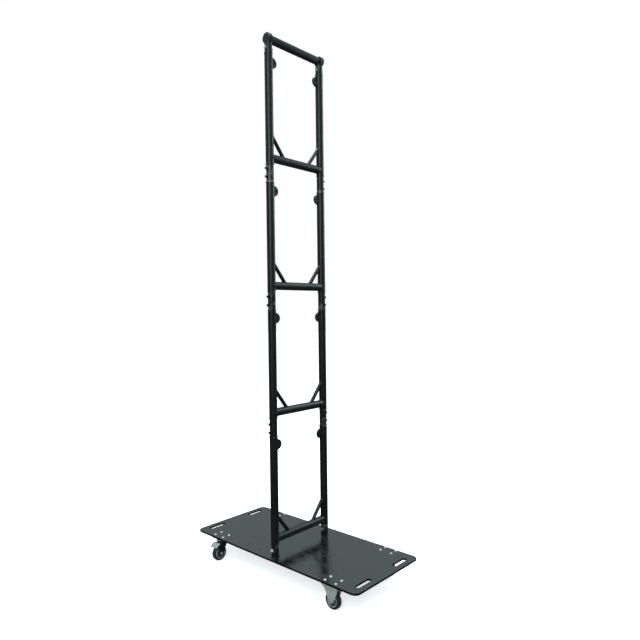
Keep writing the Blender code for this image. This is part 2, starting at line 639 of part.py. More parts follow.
def swivel_fork_mesh():
    """A folded fork that trails towards +Y under its lower race. It is placed turned outwards."""
    leg_half = FORK_INNER + FORK_SHEET
    bottom = WHEEL_RADIUS - SWIVEL_LEG_TIP - BEYOND
    bend = (CROWN_UNDERSIDE + WHEEL_RADIUS) / 2
    front = SWIVEL_TRAIL + SWIVEL_CROWN_FRONT
    length = 2 * (SWIVEL_CROWN_BACK + front)
    sheet = folded_sheet("swivel_fork", leg_half, leg_half, bend, CROWN_TOP, bottom, FORK_SHEET, length)
    nose = (SWIVEL_TRAIL, WHEEL_RADIUS - SWIVEL_LEG_TIP + SWIVEL_LEG_RADIUS)
    middle = CROWN_UNDERSIDE + FORK_SHEET / 2
    corners = ((-SWIVEL_CROWN_BACK, middle), (front, middle))
    shoulders = nosed(*corners, nose, SWIVEL_LEG_RADIUS, 2 * ARC_STEPS)
    outline = [*shoulders, (front, CROWN_TOP + BEYOND), (-SWIVEL_CROWN_BACK, CROWN_TOP + BEYOND)]
    race_bottom = CROWN_UNDERSIDE + OVERLAP
    race = cylinder("lower_race", RACE_RADIUS - RACE_STEP, race_bottom, LOWER_RACE_TOP, TUBE_SIDES)
    hole = cylinder("kingpin_hole", KINGPIN_HOLE_RADIUS, WHEEL_DIAMETER, MOUNT_TOP, TUBE_SIDES)
    pivot_hole = PEDAL_PIN_DIAMETER / 2 + BORE_CLEARANCE
    pivot = rod_along_x("pedal_hole", pivot_hole, MOUNT_WIDTH, PEDAL_PIVOT.y, PEDAL_PIVOT.z, BOLT_SIDES)
    steps = [("INTERSECT", side_cutter("swivel_fork_side", outline)), ("UNION", helper("lower_race", race))]
    steps += [("DIFFERENCE", helper("kingpin_hole", hole)), ("DIFFERENCE", pivot)]
    return combined("swivel_fork", sheet, [*steps, axle_hole("swivel_axle_hole", SWIVEL_TRAIL)])


def pedal_mesh():
    """A bent strip about its pivot at the origin, narrow between the legs and wide beyond them."""
    knee, tip = (PEDAL_KNEE_OUT, PEDAL_KNEE_RISE), (PEDAL_TIP_OUT, -PEDAL_TIP_DROP)
    strip = extruded("brake_pedal", [ribbon([(0, 0), knee, tip], PEDAL_SHEET)], PEDAL_WIDTH)
    strip.transform(STANDING_YZ)
    narrow, wide = FORK_INNER - PEDAL_SIDE_CLEARANCE, PEDAL_WIDTH / 2
    shoulder = PEDAL_PIN_BACK + PEDAL_SHOULDER
    beyond = PEDAL_TIP_OUT + BEYOND
    half = [(narrow, -BEYOND), (narrow, shoulder), (wide + BEYOND, shoulder), (wide + BEYOND, beyond)]
    plan = half + [(-x, y) for x, y in half[::-1]]
    plan_cutter = helper("pedal_plan", extruded("pedal_plan", [plan], 4 * PEDAL_TIP_DROP))
    barrel = rod_along_x("pedal_barrel", PEDAL_BARREL_DIAMETER / 2, narrow, 0, 0, BOLT_SIDES)
    reach = FORK_INNER + FORK_SHEET + OVERLAP
    pin = rod_along_x("pedal_pin", PEDAL_PIN_DIAMETER / 2, reach, 0, 0, BOLT_SIDES)
    return combined("brake_pedal", strip, [("INTERSECT", plan_cutter), ("UNION", barrel), ("UNION", pin)])


def axle_mesh(sheet):
    """An axle bolt along X with a head and a nut outside legs of the given sheet."""
    radius, head = AXLE_DIAMETER / 2, AXLE_HEAD_DIAMETER / 2
    seat = FORK_INNER + sheet + GAP
    reach = seat + AXLE_HEAD_LENGTH
    rod = cylinder("axle", radius, -seat - OVERLAP, seat + OVERLAP, BOLT_SIDES)
    ends = [helper("axle_head", cylinder("axle_head", head, seat, reach, HEX_SIDES))]
    ends.append(helper("axle_nut", cylinder("axle_nut", head, -reach, -seat, HEX_SIDES)))
    mesh = combined("axle", rod, [("UNION", end) for end in ends])
    mesh.transform(ALONG_X)
    return mesh


def wheel_mesh():
    """A wheel body about X with a hub boss each side, bored for the axle."""
    rim = WHEEL_RADIUS - TYRE_DEPTH - GAP
    hub, bore = HUB_DIAMETER / 2, AXLE_HOLE_RADIUS
    edge, boss = TYRE_WIDTH / 2 - GAP, FORK_INNER - GAP
    outer = [(bore, boss), (hub, boss), (hub, edge), (rim, edge)]
    profile = outer + [(radius, -height) for radius, height in outer[::-1]]
    mesh = turned("wheel", profile, WHEEL_SIDES, ring=True)
    mesh.transform(ALONG_X)
    return mesh


def tyre_mesh():
    """A tyre about X with chamfered shoulders, one of its flats down on the floor."""
    flat_down = WHEEL_RADIUS / cos(pi / TREAD_SIDES)
    seat = (WHEEL_RADIUS - TYRE_DEPTH) / cos(pi / TREAD_SIDES)
    edge, chamfer = TYRE_WIDTH / 2, TYRE_CHAMFER
    outer = [(seat, edge), (flat_down - chamfer, edge), (flat_down, edge - chamfer)]
    profile = outer + [(radius, -height) for radius, height in outer[::-1]]
    mesh = turned("tyre", profile, TREAD_SIDES, ring=True)
    mesh.transform(ALONG_X @ Matrix.Rotation(pi / TREAD_SIDES, 4, "Z"))
    return mesh


def caster_empty(name, x, y, turn=0):
    made = bpy.data.objects.new(name, None)
    made.location = (x, y, 0)
    made.rotation_euler.z = turn
    parts.objects.link(made)
    return made


def make_casters():
    zinc = material("zinc", (0.55, 0.56, 0.56), 1.0, 0.35)
    black_steel = material("black_steel", (0.02, 0.02, 0.022), 0.5, 0.45)
    axle_steel = material("axle_steel", (0.6, 0.6, 0.6), 1.0, 0.3)
    wheel_plastic = material("wheel_plastic", (0.12, 0.12, 0.125), 0.0, 0.5)
    tyre_rubber = material("tyre_rubber", (0.02, 0.02, 0.021), 0.0, 0.7)
    fixed_fork, swivel_mount, swivel_fork = fixed_fork_mesh(), swivel_mount_mesh(), swivel_fork_mesh()
    fixed_axle, swivel_axle = axle_mesh(MOUNT_SHEET), axle_mesh(FORK_SHEET)
    pedal, wheel, tyre = pedal_mesh(), wheel_mesh(), tyre_mesh()
    for name, side in SIDES:
        fixed = caster_empty(f"fixed_caster_{name}", side * CASTER_X, FIXED_Y)
        axle = (0, 0, WHEEL_RADIUS)
        place(f"fixed_fork_{name}", fixed_fork, zinc, (0, 0, 0), parent=fixed)
        place(f"fixed_axle_{name}", fixed_axle, axle_steel, axle, parent=fixed)
        place(f"fixed_wheel_{name}", wheel, wheel_plastic, axle, parent=fixed)
        place(f"fixed_tyre_{name}", tyre, tyre_rubber, axle, parent=fixed)
        swivel = caster_empty(f"swivel_caster_{name}", side * CASTER_X, SWIVEL_Y)
        axle = (0, SWIVEL_TRAIL, WHEEL_RADIUS)
        place(f"swivel_mount_{name}", swivel_mount, black_steel, (0, 0, 0), parent=swivel)
        turned_fork = caster_empty(f"turned_fork_{name}", side * CASTER_X, SWIVEL_Y, -side * SWIVEL_TURN)
        place(f"swivel_fork_{name}", swivel_fork, black_steel, (0, 0, 0), parent=turned_fork)
        place(f"brake_pedal_{name}", pedal, zinc, PEDAL_PIVOT, parent=turned_fork)
        place(f"swivel_axle_{name}", swivel_axle, axle_steel, axle, parent=turned_fork)
        place(f"swivel_wheel_{name}", wheel, wheel_plastic, axle, parent=turned_fork)
        place(f"swivel_tyre_{name}", tyre, tyre_rubber, axle, parent=turned_fork)


make_plate()
make_ladder()
make_casters()
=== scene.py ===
"""A truss dolly dressed for its photograph: a steel plate on four casters with a pinned ladder of tube frames.

Metres, +Z up, +X across the ladder and +Y along the plate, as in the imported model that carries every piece.
"""

from math import acos, atan2, cos, hypot, pi, radians, sin

import bmesh
import bpy
import numpy as np
from mathutils import Matrix, Vector


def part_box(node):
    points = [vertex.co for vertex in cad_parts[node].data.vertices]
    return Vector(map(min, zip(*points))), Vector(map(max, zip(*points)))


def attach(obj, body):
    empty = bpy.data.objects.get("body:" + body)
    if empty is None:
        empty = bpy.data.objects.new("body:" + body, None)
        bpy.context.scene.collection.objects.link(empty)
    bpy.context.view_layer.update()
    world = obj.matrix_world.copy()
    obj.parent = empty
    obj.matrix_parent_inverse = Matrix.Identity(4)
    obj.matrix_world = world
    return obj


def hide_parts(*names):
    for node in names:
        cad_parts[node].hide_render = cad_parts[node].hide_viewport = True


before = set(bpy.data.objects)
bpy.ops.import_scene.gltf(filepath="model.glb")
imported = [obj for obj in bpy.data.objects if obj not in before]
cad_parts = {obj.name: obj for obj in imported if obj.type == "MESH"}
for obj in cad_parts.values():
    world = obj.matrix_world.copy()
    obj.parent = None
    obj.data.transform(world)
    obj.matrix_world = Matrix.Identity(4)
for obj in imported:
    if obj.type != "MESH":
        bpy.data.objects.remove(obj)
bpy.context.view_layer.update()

# Base plate: one 12 mm steel plate, laser cut with round corners, hand slots and screw holes.
# It is sprayed with black powder, which is a little rubbed along its rims and slots. Its rims and cut walls wear a
# darker, duller copy of the coat as painted shade.
SIDES = (("left", -1), ("right", 1))
PLATE_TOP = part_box("base_plate")[1].z
PLATE_SIZE, PLATE_CORNER, PLATE_THICKNESS = (0.612, 1.410), 0.040, 0.012
SLOT_PLACE, SLOT_SIZE = (0.175, 0.652), (0.130, 0.030)
SPARE_X, SPARE_ROWS, SPARE_RADIUS = 0.240, (0.118, 0.240), 0.0045
UPRIGHT_X, FOOT_HOLE_RADIUS = 0.230, 0.0063
CASTER_X, FIXED_Y, SWIVEL_Y = 0.262, -0.507, 0.488
BOLT_COLUMNS, BOLT_ROWS, BOLT_HOLE_RADIUS = (-0.025, 0.025), (-0.04, 0.04), 0.0043
GRAIN_DEPTH, CREASE, SAME_POINT = 0.0002, radians(38), 2e-6


def node(tree, kind, inputs=(), **settings):
    """A shader node whose inputs are given values, or joined to other nodes' outputs."""
    made = tree.nodes.new("ShaderNode" + kind)
    for key, value in settings.items():
        setattr(made, key, value)
    for key, value in dict(inputs).items():
        if isinstance(value, bpy.types.NodeSocket):
            tree.links.new(value, made.inputs[key])
        else:
            made.inputs[key].default_value = value
    return made


def shader_group(name, inputs, outputs):
    """A new node group with named sockets, and the sockets inside it. All but colours are plain numbers."""
    tree = bpy.data.node_groups.new(name, "ShaderNodeTree")
    for label, value in inputs.items():
        kind = "NodeSocketFloat" if isinstance(value, float) else "NodeSocketColor"
        tree.interface.new_socket(label, in_out="INPUT", socket_type=kind).default_value = value
    for label in outputs:
        kind = "NodeSocketColor" if label == "Color" else "NodeSocketFloat"
        tree.interface.new_socket(label, in_out="OUTPUT", socket_type=kind)
    return tree, tree.nodes.new("NodeGroupInput").outputs, tree.nodes.new("NodeGroupOutput").inputs


def between(tree, value, low, high, least=0.0, most=1.0):
    """A value's way from low to high, eased, as a number from least to most."""
    wanted = {"Value": value, "From Min": low, "From Max": high, "To Min": least, "To Max": most}
    return node(tree, "MapRange", wanted, interpolation_type="SMOOTHSTEP").outputs["Result"]


def blended(tree, share, first, second):
    """Two colours mixed by a share."""
    made = tree.nodes.new("ShaderNodeMix")
    made.data_type = "RGBA"
    for index, value in ((0, share), (6, first), (7, second)):
        if isinstance(value, bpy.types.NodeSocket):
            tree.links.new(value, made.inputs[index])
        else:
            made.inputs[index].default_value = value
    return made.outputs[2]


def maths(tree, operation, first, second):
    """One sum on two values, held between 0 and 1."""
    return node(tree, "Math", {0: first, 1: second}, operation=operation, use_clamp=True).outputs[0]


def product(tree, first, second):
    """Two values multiplied, held between 0 and 1."""
    return maths(tree, "MULTIPLY", first, second)


def noise(tree, where, scale, detail=3.0, stretch=(1, 1, 1)):
    """Noise of so many cells a metre, which stretch draws out along an axis."""
    spread = node(tree, "Mapping", {"Vector": where, "Scale": stretch}).outputs["Vector"]
    made = node(tree, "TexNoise", {"Vector": spread, "Scale": scale, "Detail": detail})
    return made.outputs["Fac"]


def powder_coat_group():
    """Baked powder: a fine orange-peel skin, cloudy sheen, dust on top, narrow scuffs and bare metal along edges, and
    painted shade that darkens the paint on faces that do not face up.
    """
    tree, given, wanted = shader_group(
        "powder_coat",
        {"Paint": (0.02, 0.02, 0.02, 1), "Bare": (0.3, 0.3, 0.3, 1), "Peel": 700.0, "Sheen": 0.35,
         "Dust": 0.3, "Scuffs": 0.3, "Wear": 0.4},
        ("Color", "Roughness", "Metallic", "Height"))
    where = node(tree, "TexCoord").outputs["Object"]
    cloud = noise(tree, where, 5.0, 4.0)
    smear = noise(tree, where, 26.0, 5.0, (1, 0.35, 1))
    speck = noise(tree, where, 420.0, 2.0)
    peel = node(tree, "TexNoise", {"Vector": where, "Scale": given["Peel"], "Detail": 1.5}).outputs["Fac"]
    streak = noise(tree, where, 55.0, 2.0, (1, 0.06, 0.12))
    edge = node(tree, "Attribute", attribute_name="edge").outputs["Fac"]
    rubbed = product(tree, edge, between(tree, smear, 0.5, 0.62))
    rubbed = product(tree, rubbed, given["Wear"])
    scuff = product(tree, between(tree, streak, 0.66, 0.74), between(tree, cloud, 0.5, 0.6))
    scuff = product(tree, scuff, given["Scuffs"])
    upward = node(tree, "SeparateXYZ", {0: node(tree, "NewGeometry").outputs["Normal"]}).outputs["Z"]
    settled = product(tree, between(tree, upward, 0.4, 0.95), between(tree, smear, 0.35, 0.7))
    settled = product(tree, settled, given["Dust"])
    # Painted shade: the paint keeps its full value on faces that face up and falls to half on upright and downward
    # faces.
    painted_side_shade = between(tree, upward, 0.2, 0.7, 0.5, 1.0)
    value = node(tree, "Math", {0: painted_side_shade, 1: between(tree, cloud, 0.3, 0.7, 0.82, 1.2)}, operation="MULTIPLY")
    paint = node(tree, "HueSaturation", {"Color": given["Paint"], "Value": value.outputs[0]})
    specks = product(tree, between(tree, speck, 0.62, 0.7), 0.03)
    colour = blended(tree, specks, paint.outputs[0], given["Bare"])
    colour = blended(tree, settled, colour, (0.16, 0.155, 0.145, 1))
    colour = blended(tree, scuff, colour, (0.12, 0.12, 0.12, 1))
    tree.links.new(blended(tree, rubbed, colour, given["Bare"]), wanted["Color"])
    sheen = maths(tree, "ADD", given["Sheen"], between(tree, smear, 0.3, 0.75, -0.05, 0.08))
    sheen = maths(tree, "ADD", sheen, product(tree, settled, 0.4))
    tree.links.new(maths(tree, "ADD", sheen, product(tree, scuff, 0.2)), wanted["Roughness"])
    tree.links.new(rubbed, wanted["Metallic"])
    tree.links.new(maths(tree, "SUBTRACT", peel, product(tree, rubbed, 0.5)), wanted["Height"])
    return tree


def surfaced(name, group, values, bump, **sockets):
    """A material whose changing values come from a node group, and whose even ones sit on the shader itself."""
    look = bpy.data.materials.new(name)
    look.use_nodes = True
    tree = look.node_tree
    shader = tree.nodes["Principled BSDF"]
    skin = node(tree, "Group", node_tree=group)
    for label, value in values.items():
        skin.inputs[label].default_value = value
    for label in ("Color", "Roughness", "Metallic"):
        if label in skin.outputs:
            tree.links.new(skin.outputs[label], shader.inputs["Base Color" if label == "Color" else label])
    relief = node(tree, "Bump", {"Height": skin.outputs["Height"], "Strength": bump, "Distance": GRAIN_DEPTH})
    tree.links.new(relief.outputs["Normal"], shader.inputs["Normal"])
    for label, value in sockets.items():
        shader.inputs[label.replace("_", " ")].default_value = value
    return look


def net(points, round_u=False, round_v=False, edge=None):
    """A grid of points as (points, faces, edge weights): each face joins two neighbours in a row and in the next."""
    rows, columns = points.shape[:2]
    index = np.arange(rows * columns).reshape(rows, columns)
    if round_u:
        index = np.concatenate([index, index[:1]])
    if round_v:
        index = np.concatenate([index, index[:, :1]], axis=1)
    faces = np.stack([index[:-1, :-1], index[1:, :-1], index[1:, 1:], index[:-1, 1:]], axis=-1)
    weights = np.zeros((rows, columns)) if edge is None else np.broadcast_to(edge, (rows, columns))
    return points.reshape(-1, 3), faces.reshape(-1, 4), weights.ravel()


def mesh_of(name, nets):
    """One mesh from several nets. Points that coincide are joined, and all faces are turned outwards."""
    starts = np.cumsum([0] + [len(points) for points, _, _ in nets])
    mesh = bpy.data.meshes.new(name)
    points = np.concatenate([part[0] for part in nets])
    faces = np.concatenate([part[1] + start for part, start in zip(nets, starts)])
    mesh.from_pydata(points.tolist(), [], faces.tolist())
    weights = np.concatenate([part[2] for part in nets]).astype(np.float32)
    mesh.attributes.new("edge", "FLOAT", "POINT").data.foreach_set("value", weights)
    shape = bmesh.new()
    shape.from_mesh(mesh)
    bmesh.ops.remove_doubles(shape, verts=shape.verts, dist=SAME_POINT)
    bmesh.ops.recalc_face_normals(shape, faces=shape.faces)
    shape.to_mesh(mesh)
    shape.free()
    mesh.shade_smooth()
    mesh.set_sharp_from_angle(angle=CREASE)
    return mesh


def in_scene(name, data):
    """A new object that shows a mesh, curve, lamp or camera."""
    made = bpy.data.objects.new(name, data)
    bpy.context.scene.collection.objects.link(made)
    return made


def worked_out(source, *helpers):
    """The mesh of an object with its fill or its cuts applied. The object and its helpers are removed."""
    mesh = bpy.data.meshes.new_from_object(source.evaluated_get(bpy.context.evaluated_depsgraph_get()))
    for used in (source, *helpers):
        bpy.data.objects.remove(used)
    return mesh


def triples(elements, key):
    """Three numbers for each vertex or face of a mesh, as rows."""
    values = np.empty(3 * len(elements), np.float32)
    elements.foreach_get(key, values)
    return values.reshape(-1, 3)


def flat_plate(name, outlines, thickness, ease):
    """A flat outline less its holes, with its thickness half above and half below 0 and its rims rounded by ease.
    A rim's edge weight is greatest where its normal leans halfway: 4 n^2 (1 - n^2) for a normal's height n."""
    curve = bpy.data.curves.new(name, "CURVE")
    curve.dimensions = "2D"
    curve.fill_mode = "BOTH"
    curve.extrude = thickness / 2
    for outline in outlines:
        spline = curve.splines.new("POLY")
        spline.points.add(len(outline) - 1)
        spline.use_cyclic_u = True
        flat = np.column_stack([outline, np.zeros(len(outline)), np.ones(len(outline))])
        spline.points.foreach_set("co", flat.astype(np.float32).ravel())
    mesh = worked_out(in_scene(name, curve))
    shape = bmesh.new()
    shape.from_mesh(mesh)
    bmesh.ops.remove_doubles(shape, verts=shape.verts, dist=SAME_POINT)
    bmesh.ops.dissolve_limit(shape, angle_limit=radians(0.5), verts=shape.verts, edges=shape.edges)
    rims = [rim for rim in shape.edges if rim.calc_face_angle(0) > radians(60)]
    bmesh.ops.bevel(shape, geom=rims, offset=ease, segments=3, profile=0.5, affect="EDGES")
    bmesh.ops.recalc_face_normals(shape, faces=shape.faces)
    for face in shape.faces:
        face.smooth = abs(face.normal.z) < 0.98
    shape.to_mesh(mesh)
    shape.free()
    lean = triples(mesh.vertices, "normal")[:, 2] ** 2
    mesh.attributes.new("edge", "FLOAT", "POINT").data.foreach_set("value", 4 * lean * (1 - lean))
    return mesh


def fitted(name, mesh, look, body, *nodes, slot):
    """A finished piece wears its material, moves with a body and stands for the solids that it shows in detail."""
    mesh.materials.clear()
    mesh.materials.append(look)
    made = in_scene(name, mesh)
    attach(made, body)
    if nodes:
        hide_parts(*nodes)


def arc(centre, radius, start, end, steps):
    """Points on a circle between two angles in degrees."""
    angle = np.radians(np.linspace(start, end, steps + 1))
    return np.column_stack([centre[0] + radius * np.cos(angle), centre[1] + radius * np.sin(angle)])


def round_hole(centre, radius, points):
    """A circle's points, without a last one on the first."""
    return arc(centre, radius, 0, 360 - 360 / points, points - 1)


def rounded_box(width, length, radius, steps):
    """A rectangle about 0 with a quarter circle at each corner."""
    x, y = width / 2 - radius, length / 2 - radius
    corners = ((x, y), (-x, y), (-x, -y), (x, -y))
    return np.concatenate([arc(c, radius, 90 * i, 90 * i + 90, steps) for i, c in enumerate(corners)])


def hand_slot(centre, length, width, steps=12):
    """A slot with a half circle at each end, along x."""
    reach = (length - width) / 2
    right = arc((centre[0] + reach, centre[1]), width / 2, -90, 90, steps)
    return np.concatenate([right, arc((centre[0] - reach, centre[1]), width / 2, 90, 270, steps)])


def caster_bolt_places(side):
    """Where the eight deck bolts of one long side go through the plate, the fixed caster's four first."""
    centres = [(side * CASTER_X, row) for row in (FIXED_Y, SWIVEL_Y)]
    return [(across + x, row + y) for across, row in centres for x in BOLT_COLUMNS for y in BOLT_ROWS]


def plate_cuts():
    """The foot screw holes, hand slots, spare screw holes and caster bolt holes of the plate."""
    cuts = []
    for _, side in SIDES:
        cuts.append(round_hole((side * UPRIGHT_X, 0), FOOT_HOLE_RADIUS, 24))
        for end in (-1, 1):
            cuts.append(hand_slot((side * SLOT_PLACE[0], end * SLOT_PLACE[1]), *SLOT_SIZE))
            cuts += [round_hole((side * SPARE_X, end * row), SPARE_RADIUS, 16) for row in SPARE_ROWS]
        cuts += [round_hole(place, BOLT_HOLE_RADIUS, 12) for place in caster_bolt_places(side)]
    return cuts


def also_wearing(mesh, look, chosen):
    """A mesh's faces wear a second material where chosen is true of their centre x and their normal's height."""
    mesh.materials.append(look)
    x, up = triples(mesh.polygons, "center")[:, 0], triples(mesh.polygons, "normal")[:, 2]
    mesh.polygons.foreach_set("material_index", chosen(x, up).astype(np.int32))


powder_coat = powder_coat_group()
plate_paint = surfaced(
    "plate_powder_coat", powder_coat,
    {"Paint": (0.0018, 0.0034, 0.0037, 1), "Bare": (0.02, 0.024, 0.024, 1), "Peel": 620.0, "Sheen": 0.2,
     "Dust": 0.02, "Scuffs": 0.08, "Wear": 0.2}, bump=0.06, Specular_IOR_Level=0.76)
# Painted shade: a darker, duller copy of the plate's coat for its rims, slot walls and hole walls.
shaded_rim_paint = surfaced(
    "plate_rim_shaded_coat", powder_coat,
    {"Paint": (0.0018, 0.0026, 0.0026, 1), "Bare": (0.02, 0.024, 0.024, 1), "Peel": 620.0, "Sheen": 0.6,
     "Dust": 0.01, "Scuffs": 0.02, "Wear": 0.1}, bump=0.03, Specular_IOR_Level=0.08)
plate = flat_plate("plate", [rounded_box(*PLATE_SIZE, PLATE_CORNER, 14), *plate_cuts()], PLATE_THICKNESS, 0.0008)
plate.transform(Matrix.Translation((0, 0, PLATE_TOP - PLATE_THICKNESS / 2)))
fitted("deck_plate", plate, plate_paint, "dolly", "base_plate", slot="plate_paint")
# Painted shade: every face of the plate that is not flat wears the shaded copy of the coat.
also_wearing(plate, shaded_rim_paint, lambda x, up: np.abs(up) < 0.9)

# Deck bolts: sixteen zinc-plated hexagon bolts drop through the plate and the casters' mounts, with a washer
# under each head and a lock nut below. The plating is bright on the corners and grey in the recesses.
MOUNT_UNDERSIDE = PLATE_TOP - PLATE_THICKNESS - 0.0043
BOLT_SEAT = PLATE_TOP + 0.0003
BOLT_RADIUS, BOLT_FLATS = 0.004, 0.013


def eased(corners, ease, ring=False, steps=4):
    """A profile with rounded corners, and its edge weights. At a corner C the curve (1-s)^2 A + 2s(1-s) C + s^2 B
    runs from side to side, where A and B lie ease from C, and one more point each way keeps the sides straight."""
    corners = np.asarray(corners, float)
    inner = corners if ring else corners[1:-1]
    before = (np.roll(corners, 1, 0) if ring else corners[:-2]) - inner
    after = (np.roll(corners, -1, 0) if ring else corners[2:]) - inner
    sides = np.minimum(np.linalg.norm(before, axis=1), np.linalg.norm(after, axis=1))
    reach = np.minimum(np.broadcast_to(ease, len(inner)), 0.44 * sides)[:, None]
    to_a = before / np.linalg.norm(before, axis=1)[:, None] * reach
    to_b = after / np.linalg.norm(after, axis=1)[:, None] * reach
    s = np.linspace(0, 1, steps + 1)[None, :, None]
    curve = inner[:, None] + (1 - s) ** 2 * to_a[:, None] + s**2 * to_b[:, None]
    curve = np.concatenate([(inner + 1.1 * to_a)[:, None], curve, (inner + 1.1 * to_b)[:, None]], axis=1)
    weights = np.zeros(curve.shape[:2])
    weights[:, 2:-2] = 1
    curve, weights = curve.reshape(-1, 2), weights.ravel()
    if not ring:
        curve = np.concatenate([corners[:1], curve, corners[-1:]])
        weights = np.concatenate([[0], weights, [0]])
    return curve, weights


def axes_about(along):
    """Two unit vectors square to an axis and to each other."""
    along = np.asarray(along, float) / np.linalg.norm(along)
    side = np.cross((0, 1, 0) if abs(along[1]) < 0.9 else (1, 0, 0), along)
    side /= np.linalg.norm(side)
    return along, side, np.cross(along, side)


def around(centre, along, radius, height, angle):
    """Points at centre + height * axis + radius * (cos angle * side + sin angle * other side)."""
    along, side, other = axes_about(along)
    ring = np.cos(angle)[..., None] * side + np.sin(angle)[..., None] * other
    return np.asarray(centre, float) + np.asarray(height)[..., None] * along + np.asarray(radius)[..., None] * ring


def full_turn(sides):
    """The angles round a circle, as a grid of one row."""
    return np.linspace(0, 2 * pi, sides, endpoint=False)[None, :]


def turned(profile, centre, along=(0, 0, 1), sides=64, ring=False):
    """A rounded profile of (radius, height) carried round an axis, as around does. A ring's profile closes on
    itself."""
    curve, weights = profile
    angle = full_turn(sides) + 0 * curve[:, :1]
    points = around(centre, along, curve[:, :1] + 0 * angle, curve[:, 1:] + 0 * angle, angle)
    return net(points, ring, True, weights[:, None])


def round_rod(radius, start, end, centre, along=(0, 0, 1), ease=0.0001, sides=40, steps=4):
    """A rod between two heights on its axis, closed by flat ends whose rims are rounded by ease."""
    corners = [(0, start), (radius, start), (radius, end), (0, end)]
    return turned(eased(corners, ease, steps=steps), centre, along, sides)


def hexagon_head(centre, along, across, height, sides=48):
    """A hexagon with turned-off corners: its radius is the lesser of the hexagon's, half the width over the cosine
    of the angle from the nearest flat's middle, and a cone's that falls 30 degrees from a circle on its end."""
    half = across / 2
    angle = full_turn(sides)
    hexagon = half / np.cos((angle + pi / 6) % (pi / 3) - pi / 6)
    depth = np.concatenate([[0, 0], np.linspace(0.02, 0.14, 6) * half, [height, height]])[:, None]
    radius = np.minimum(hexagon, 0.93 * half + depth * 1.7)
    radius[0] = radius[-1] = 0
    weights = np.zeros(len(depth))
    weights[2:8] = 0.8
    points = around(centre, along, radius, height - depth + 0 * angle, angle + 0 * radius)
    return net(points, False, True, weights[:, None])


def thread(centre, along, radius, length, pitch=0.0013, sides=20):
    """A screw's end: the radius less a third of the pitch times a wave that runs straight from 1 to 0 and back with
    height / pitch - angle / turn, narrowed over the last pitch."""
    angle = full_turn(sides)
    height = np.linspace(0, length, max(int(5 * length / pitch), 8))[:, None]
    wave = 2 * np.abs((height / pitch - angle / (2 * pi)) % 1 - 0.5)
    body = radius - pitch / 3 * wave - 0.3 * radius * np.clip(1 - (length - height) / pitch, 0, 1)
    body = np.concatenate([0 * body[:1], body, 0 * body[:1]])
    height = np.concatenate([height[:1], height, height[-1:]])
    return net(around(centre, along, body, height + 0 * angle, angle + 0 * body), False, True)


def washer(centre, along, inner, outer, thick):
    """A flat ring with rounded rims, lying on its centre's plane."""
    corners = [(inner, 0), (outer, 0), (outer, thick), (inner, thick)]
    return turned(eased(corners, 0.0003, ring=True, steps=2), centre, along, 40, ring=True)


def deck_bolt(x, y):
    """A hexagon bolt down through the plate, its washer on the plate and its nut and thread under the mount."""
    head = hexagon_head((x, y, BOLT_SEAT + 0.0010), (0, 0, 1), BOLT_FLATS, height=0.0045)
    nut = hexagon_head((x, y, MOUNT_UNDERSIDE), (0, 0, -1), BOLT_FLATS, height=0.0068)
    rod = round_rod(BOLT_RADIUS, BOLT_SEAT, MOUNT_UNDERSIDE, (x, y, 0), sides=64)
    ring = washer((x, y, BOLT_SEAT - 0.0002), (0, 0, 1), inner=0.0042, outer=0.0077, thick=0.0012)
    return [head, nut, rod, ring, thread((x, y, MOUNT_UNDERSIDE - 0.006), (0, 0, -1), BOLT_RADIUS, length=0.0025)]


def plated_group():
    """Plated or turned steel: fine drawn lines, faint crystal patches, dull film, and brightness along edges."""
    tree, given, wanted = shader_group(
        "plated_steel",
        {"Metal": (0.6, 0.6, 0.6, 1), "Film": (0.25, 0.25, 0.24, 1), "Crystals": 150.0, "Patch": 0.3,
         "Polish": 0.3, "Grime": 0.3},
        ("Color", "Roughness", "Metallic", "Height"))
    where = node(tree, "TexCoord").outputs["Object"]
    cells = node(tree, "TexVoronoi", {"Vector": where, "Scale": given["Crystals"]})
    tone = node(tree, "SeparateColor", {0: cells.outputs["Color"]}).outputs[0]
    lines = noise(tree, where, 900.0, 2.0, (0.1, 1, 1))
    film = noise(tree, where, 38.0, 5.0)
    edge = node(tree, "Attribute", attribute_name="edge").outputs["Fac"]
    tone = product(tree, tone, given["Patch"])
    value = node(tree, "MapRange", {"Value": tone, "To Min": 0.94, "To Max": 0.7}).outputs[0]
    metal = node(tree, "HueSaturation", {"Color": given["Metal"], "Value": value}).outputs[0]
    dull = product(tree, between(tree, film, 0.36, 0.7, 0.62, 1.0), given["Grime"])
    dull = maths(tree, "SUBTRACT", dull, product(tree, edge, 0.6))
    tree.links.new(blended(tree, dull, metal, given["Film"]), wanted["Color"])
    rough = maths(tree, "ADD", given["Polish"], product(tree, lines, 0.12))
    rough = maths(tree, "ADD", rough, product(tree, dull, 0.45))
    tree.links.new(maths(tree, "SUBTRACT", rough, product(tree, edge, 0.1)), wanted["Roughness"])
    tree.links.new(maths(tree, "SUBTRACT", 1.0, product(tree, dull, 0.7)), wanted["Metallic"])
    height = maths(tree, "ADD", product(tree, lines, 0.6), product(tree, tone, 0.4))
    tree.links.new(height, wanted["Height"])
    return tree


plated_steel = plated_group()
bolt_zinc = surfaced(
    "bright_bolt_zinc", plated_steel,
    {"Metal": (0.8, 0.76, 0.74, 1), "Film": (0.6, 0.56, 0.54, 1), "Crystals": 500.0, "Patch": 0.15,
     "Polish": 0.5, "Grime": 0.9}, bump=0.15)

# Fixed casters: a zinc-plated mount and two tapered legs, pressed from one 4 mm sheet, at the plate's -Y end.
# Each wheel turns on a bolt through both legs.
WHEEL_RADIUS = 0.050
FORK_INNER = 0.0195
AXLE_FLATS = 0.0165
FIXED_SHEET = 0.004
FIXED_NOSE_RADIUS = 0.018


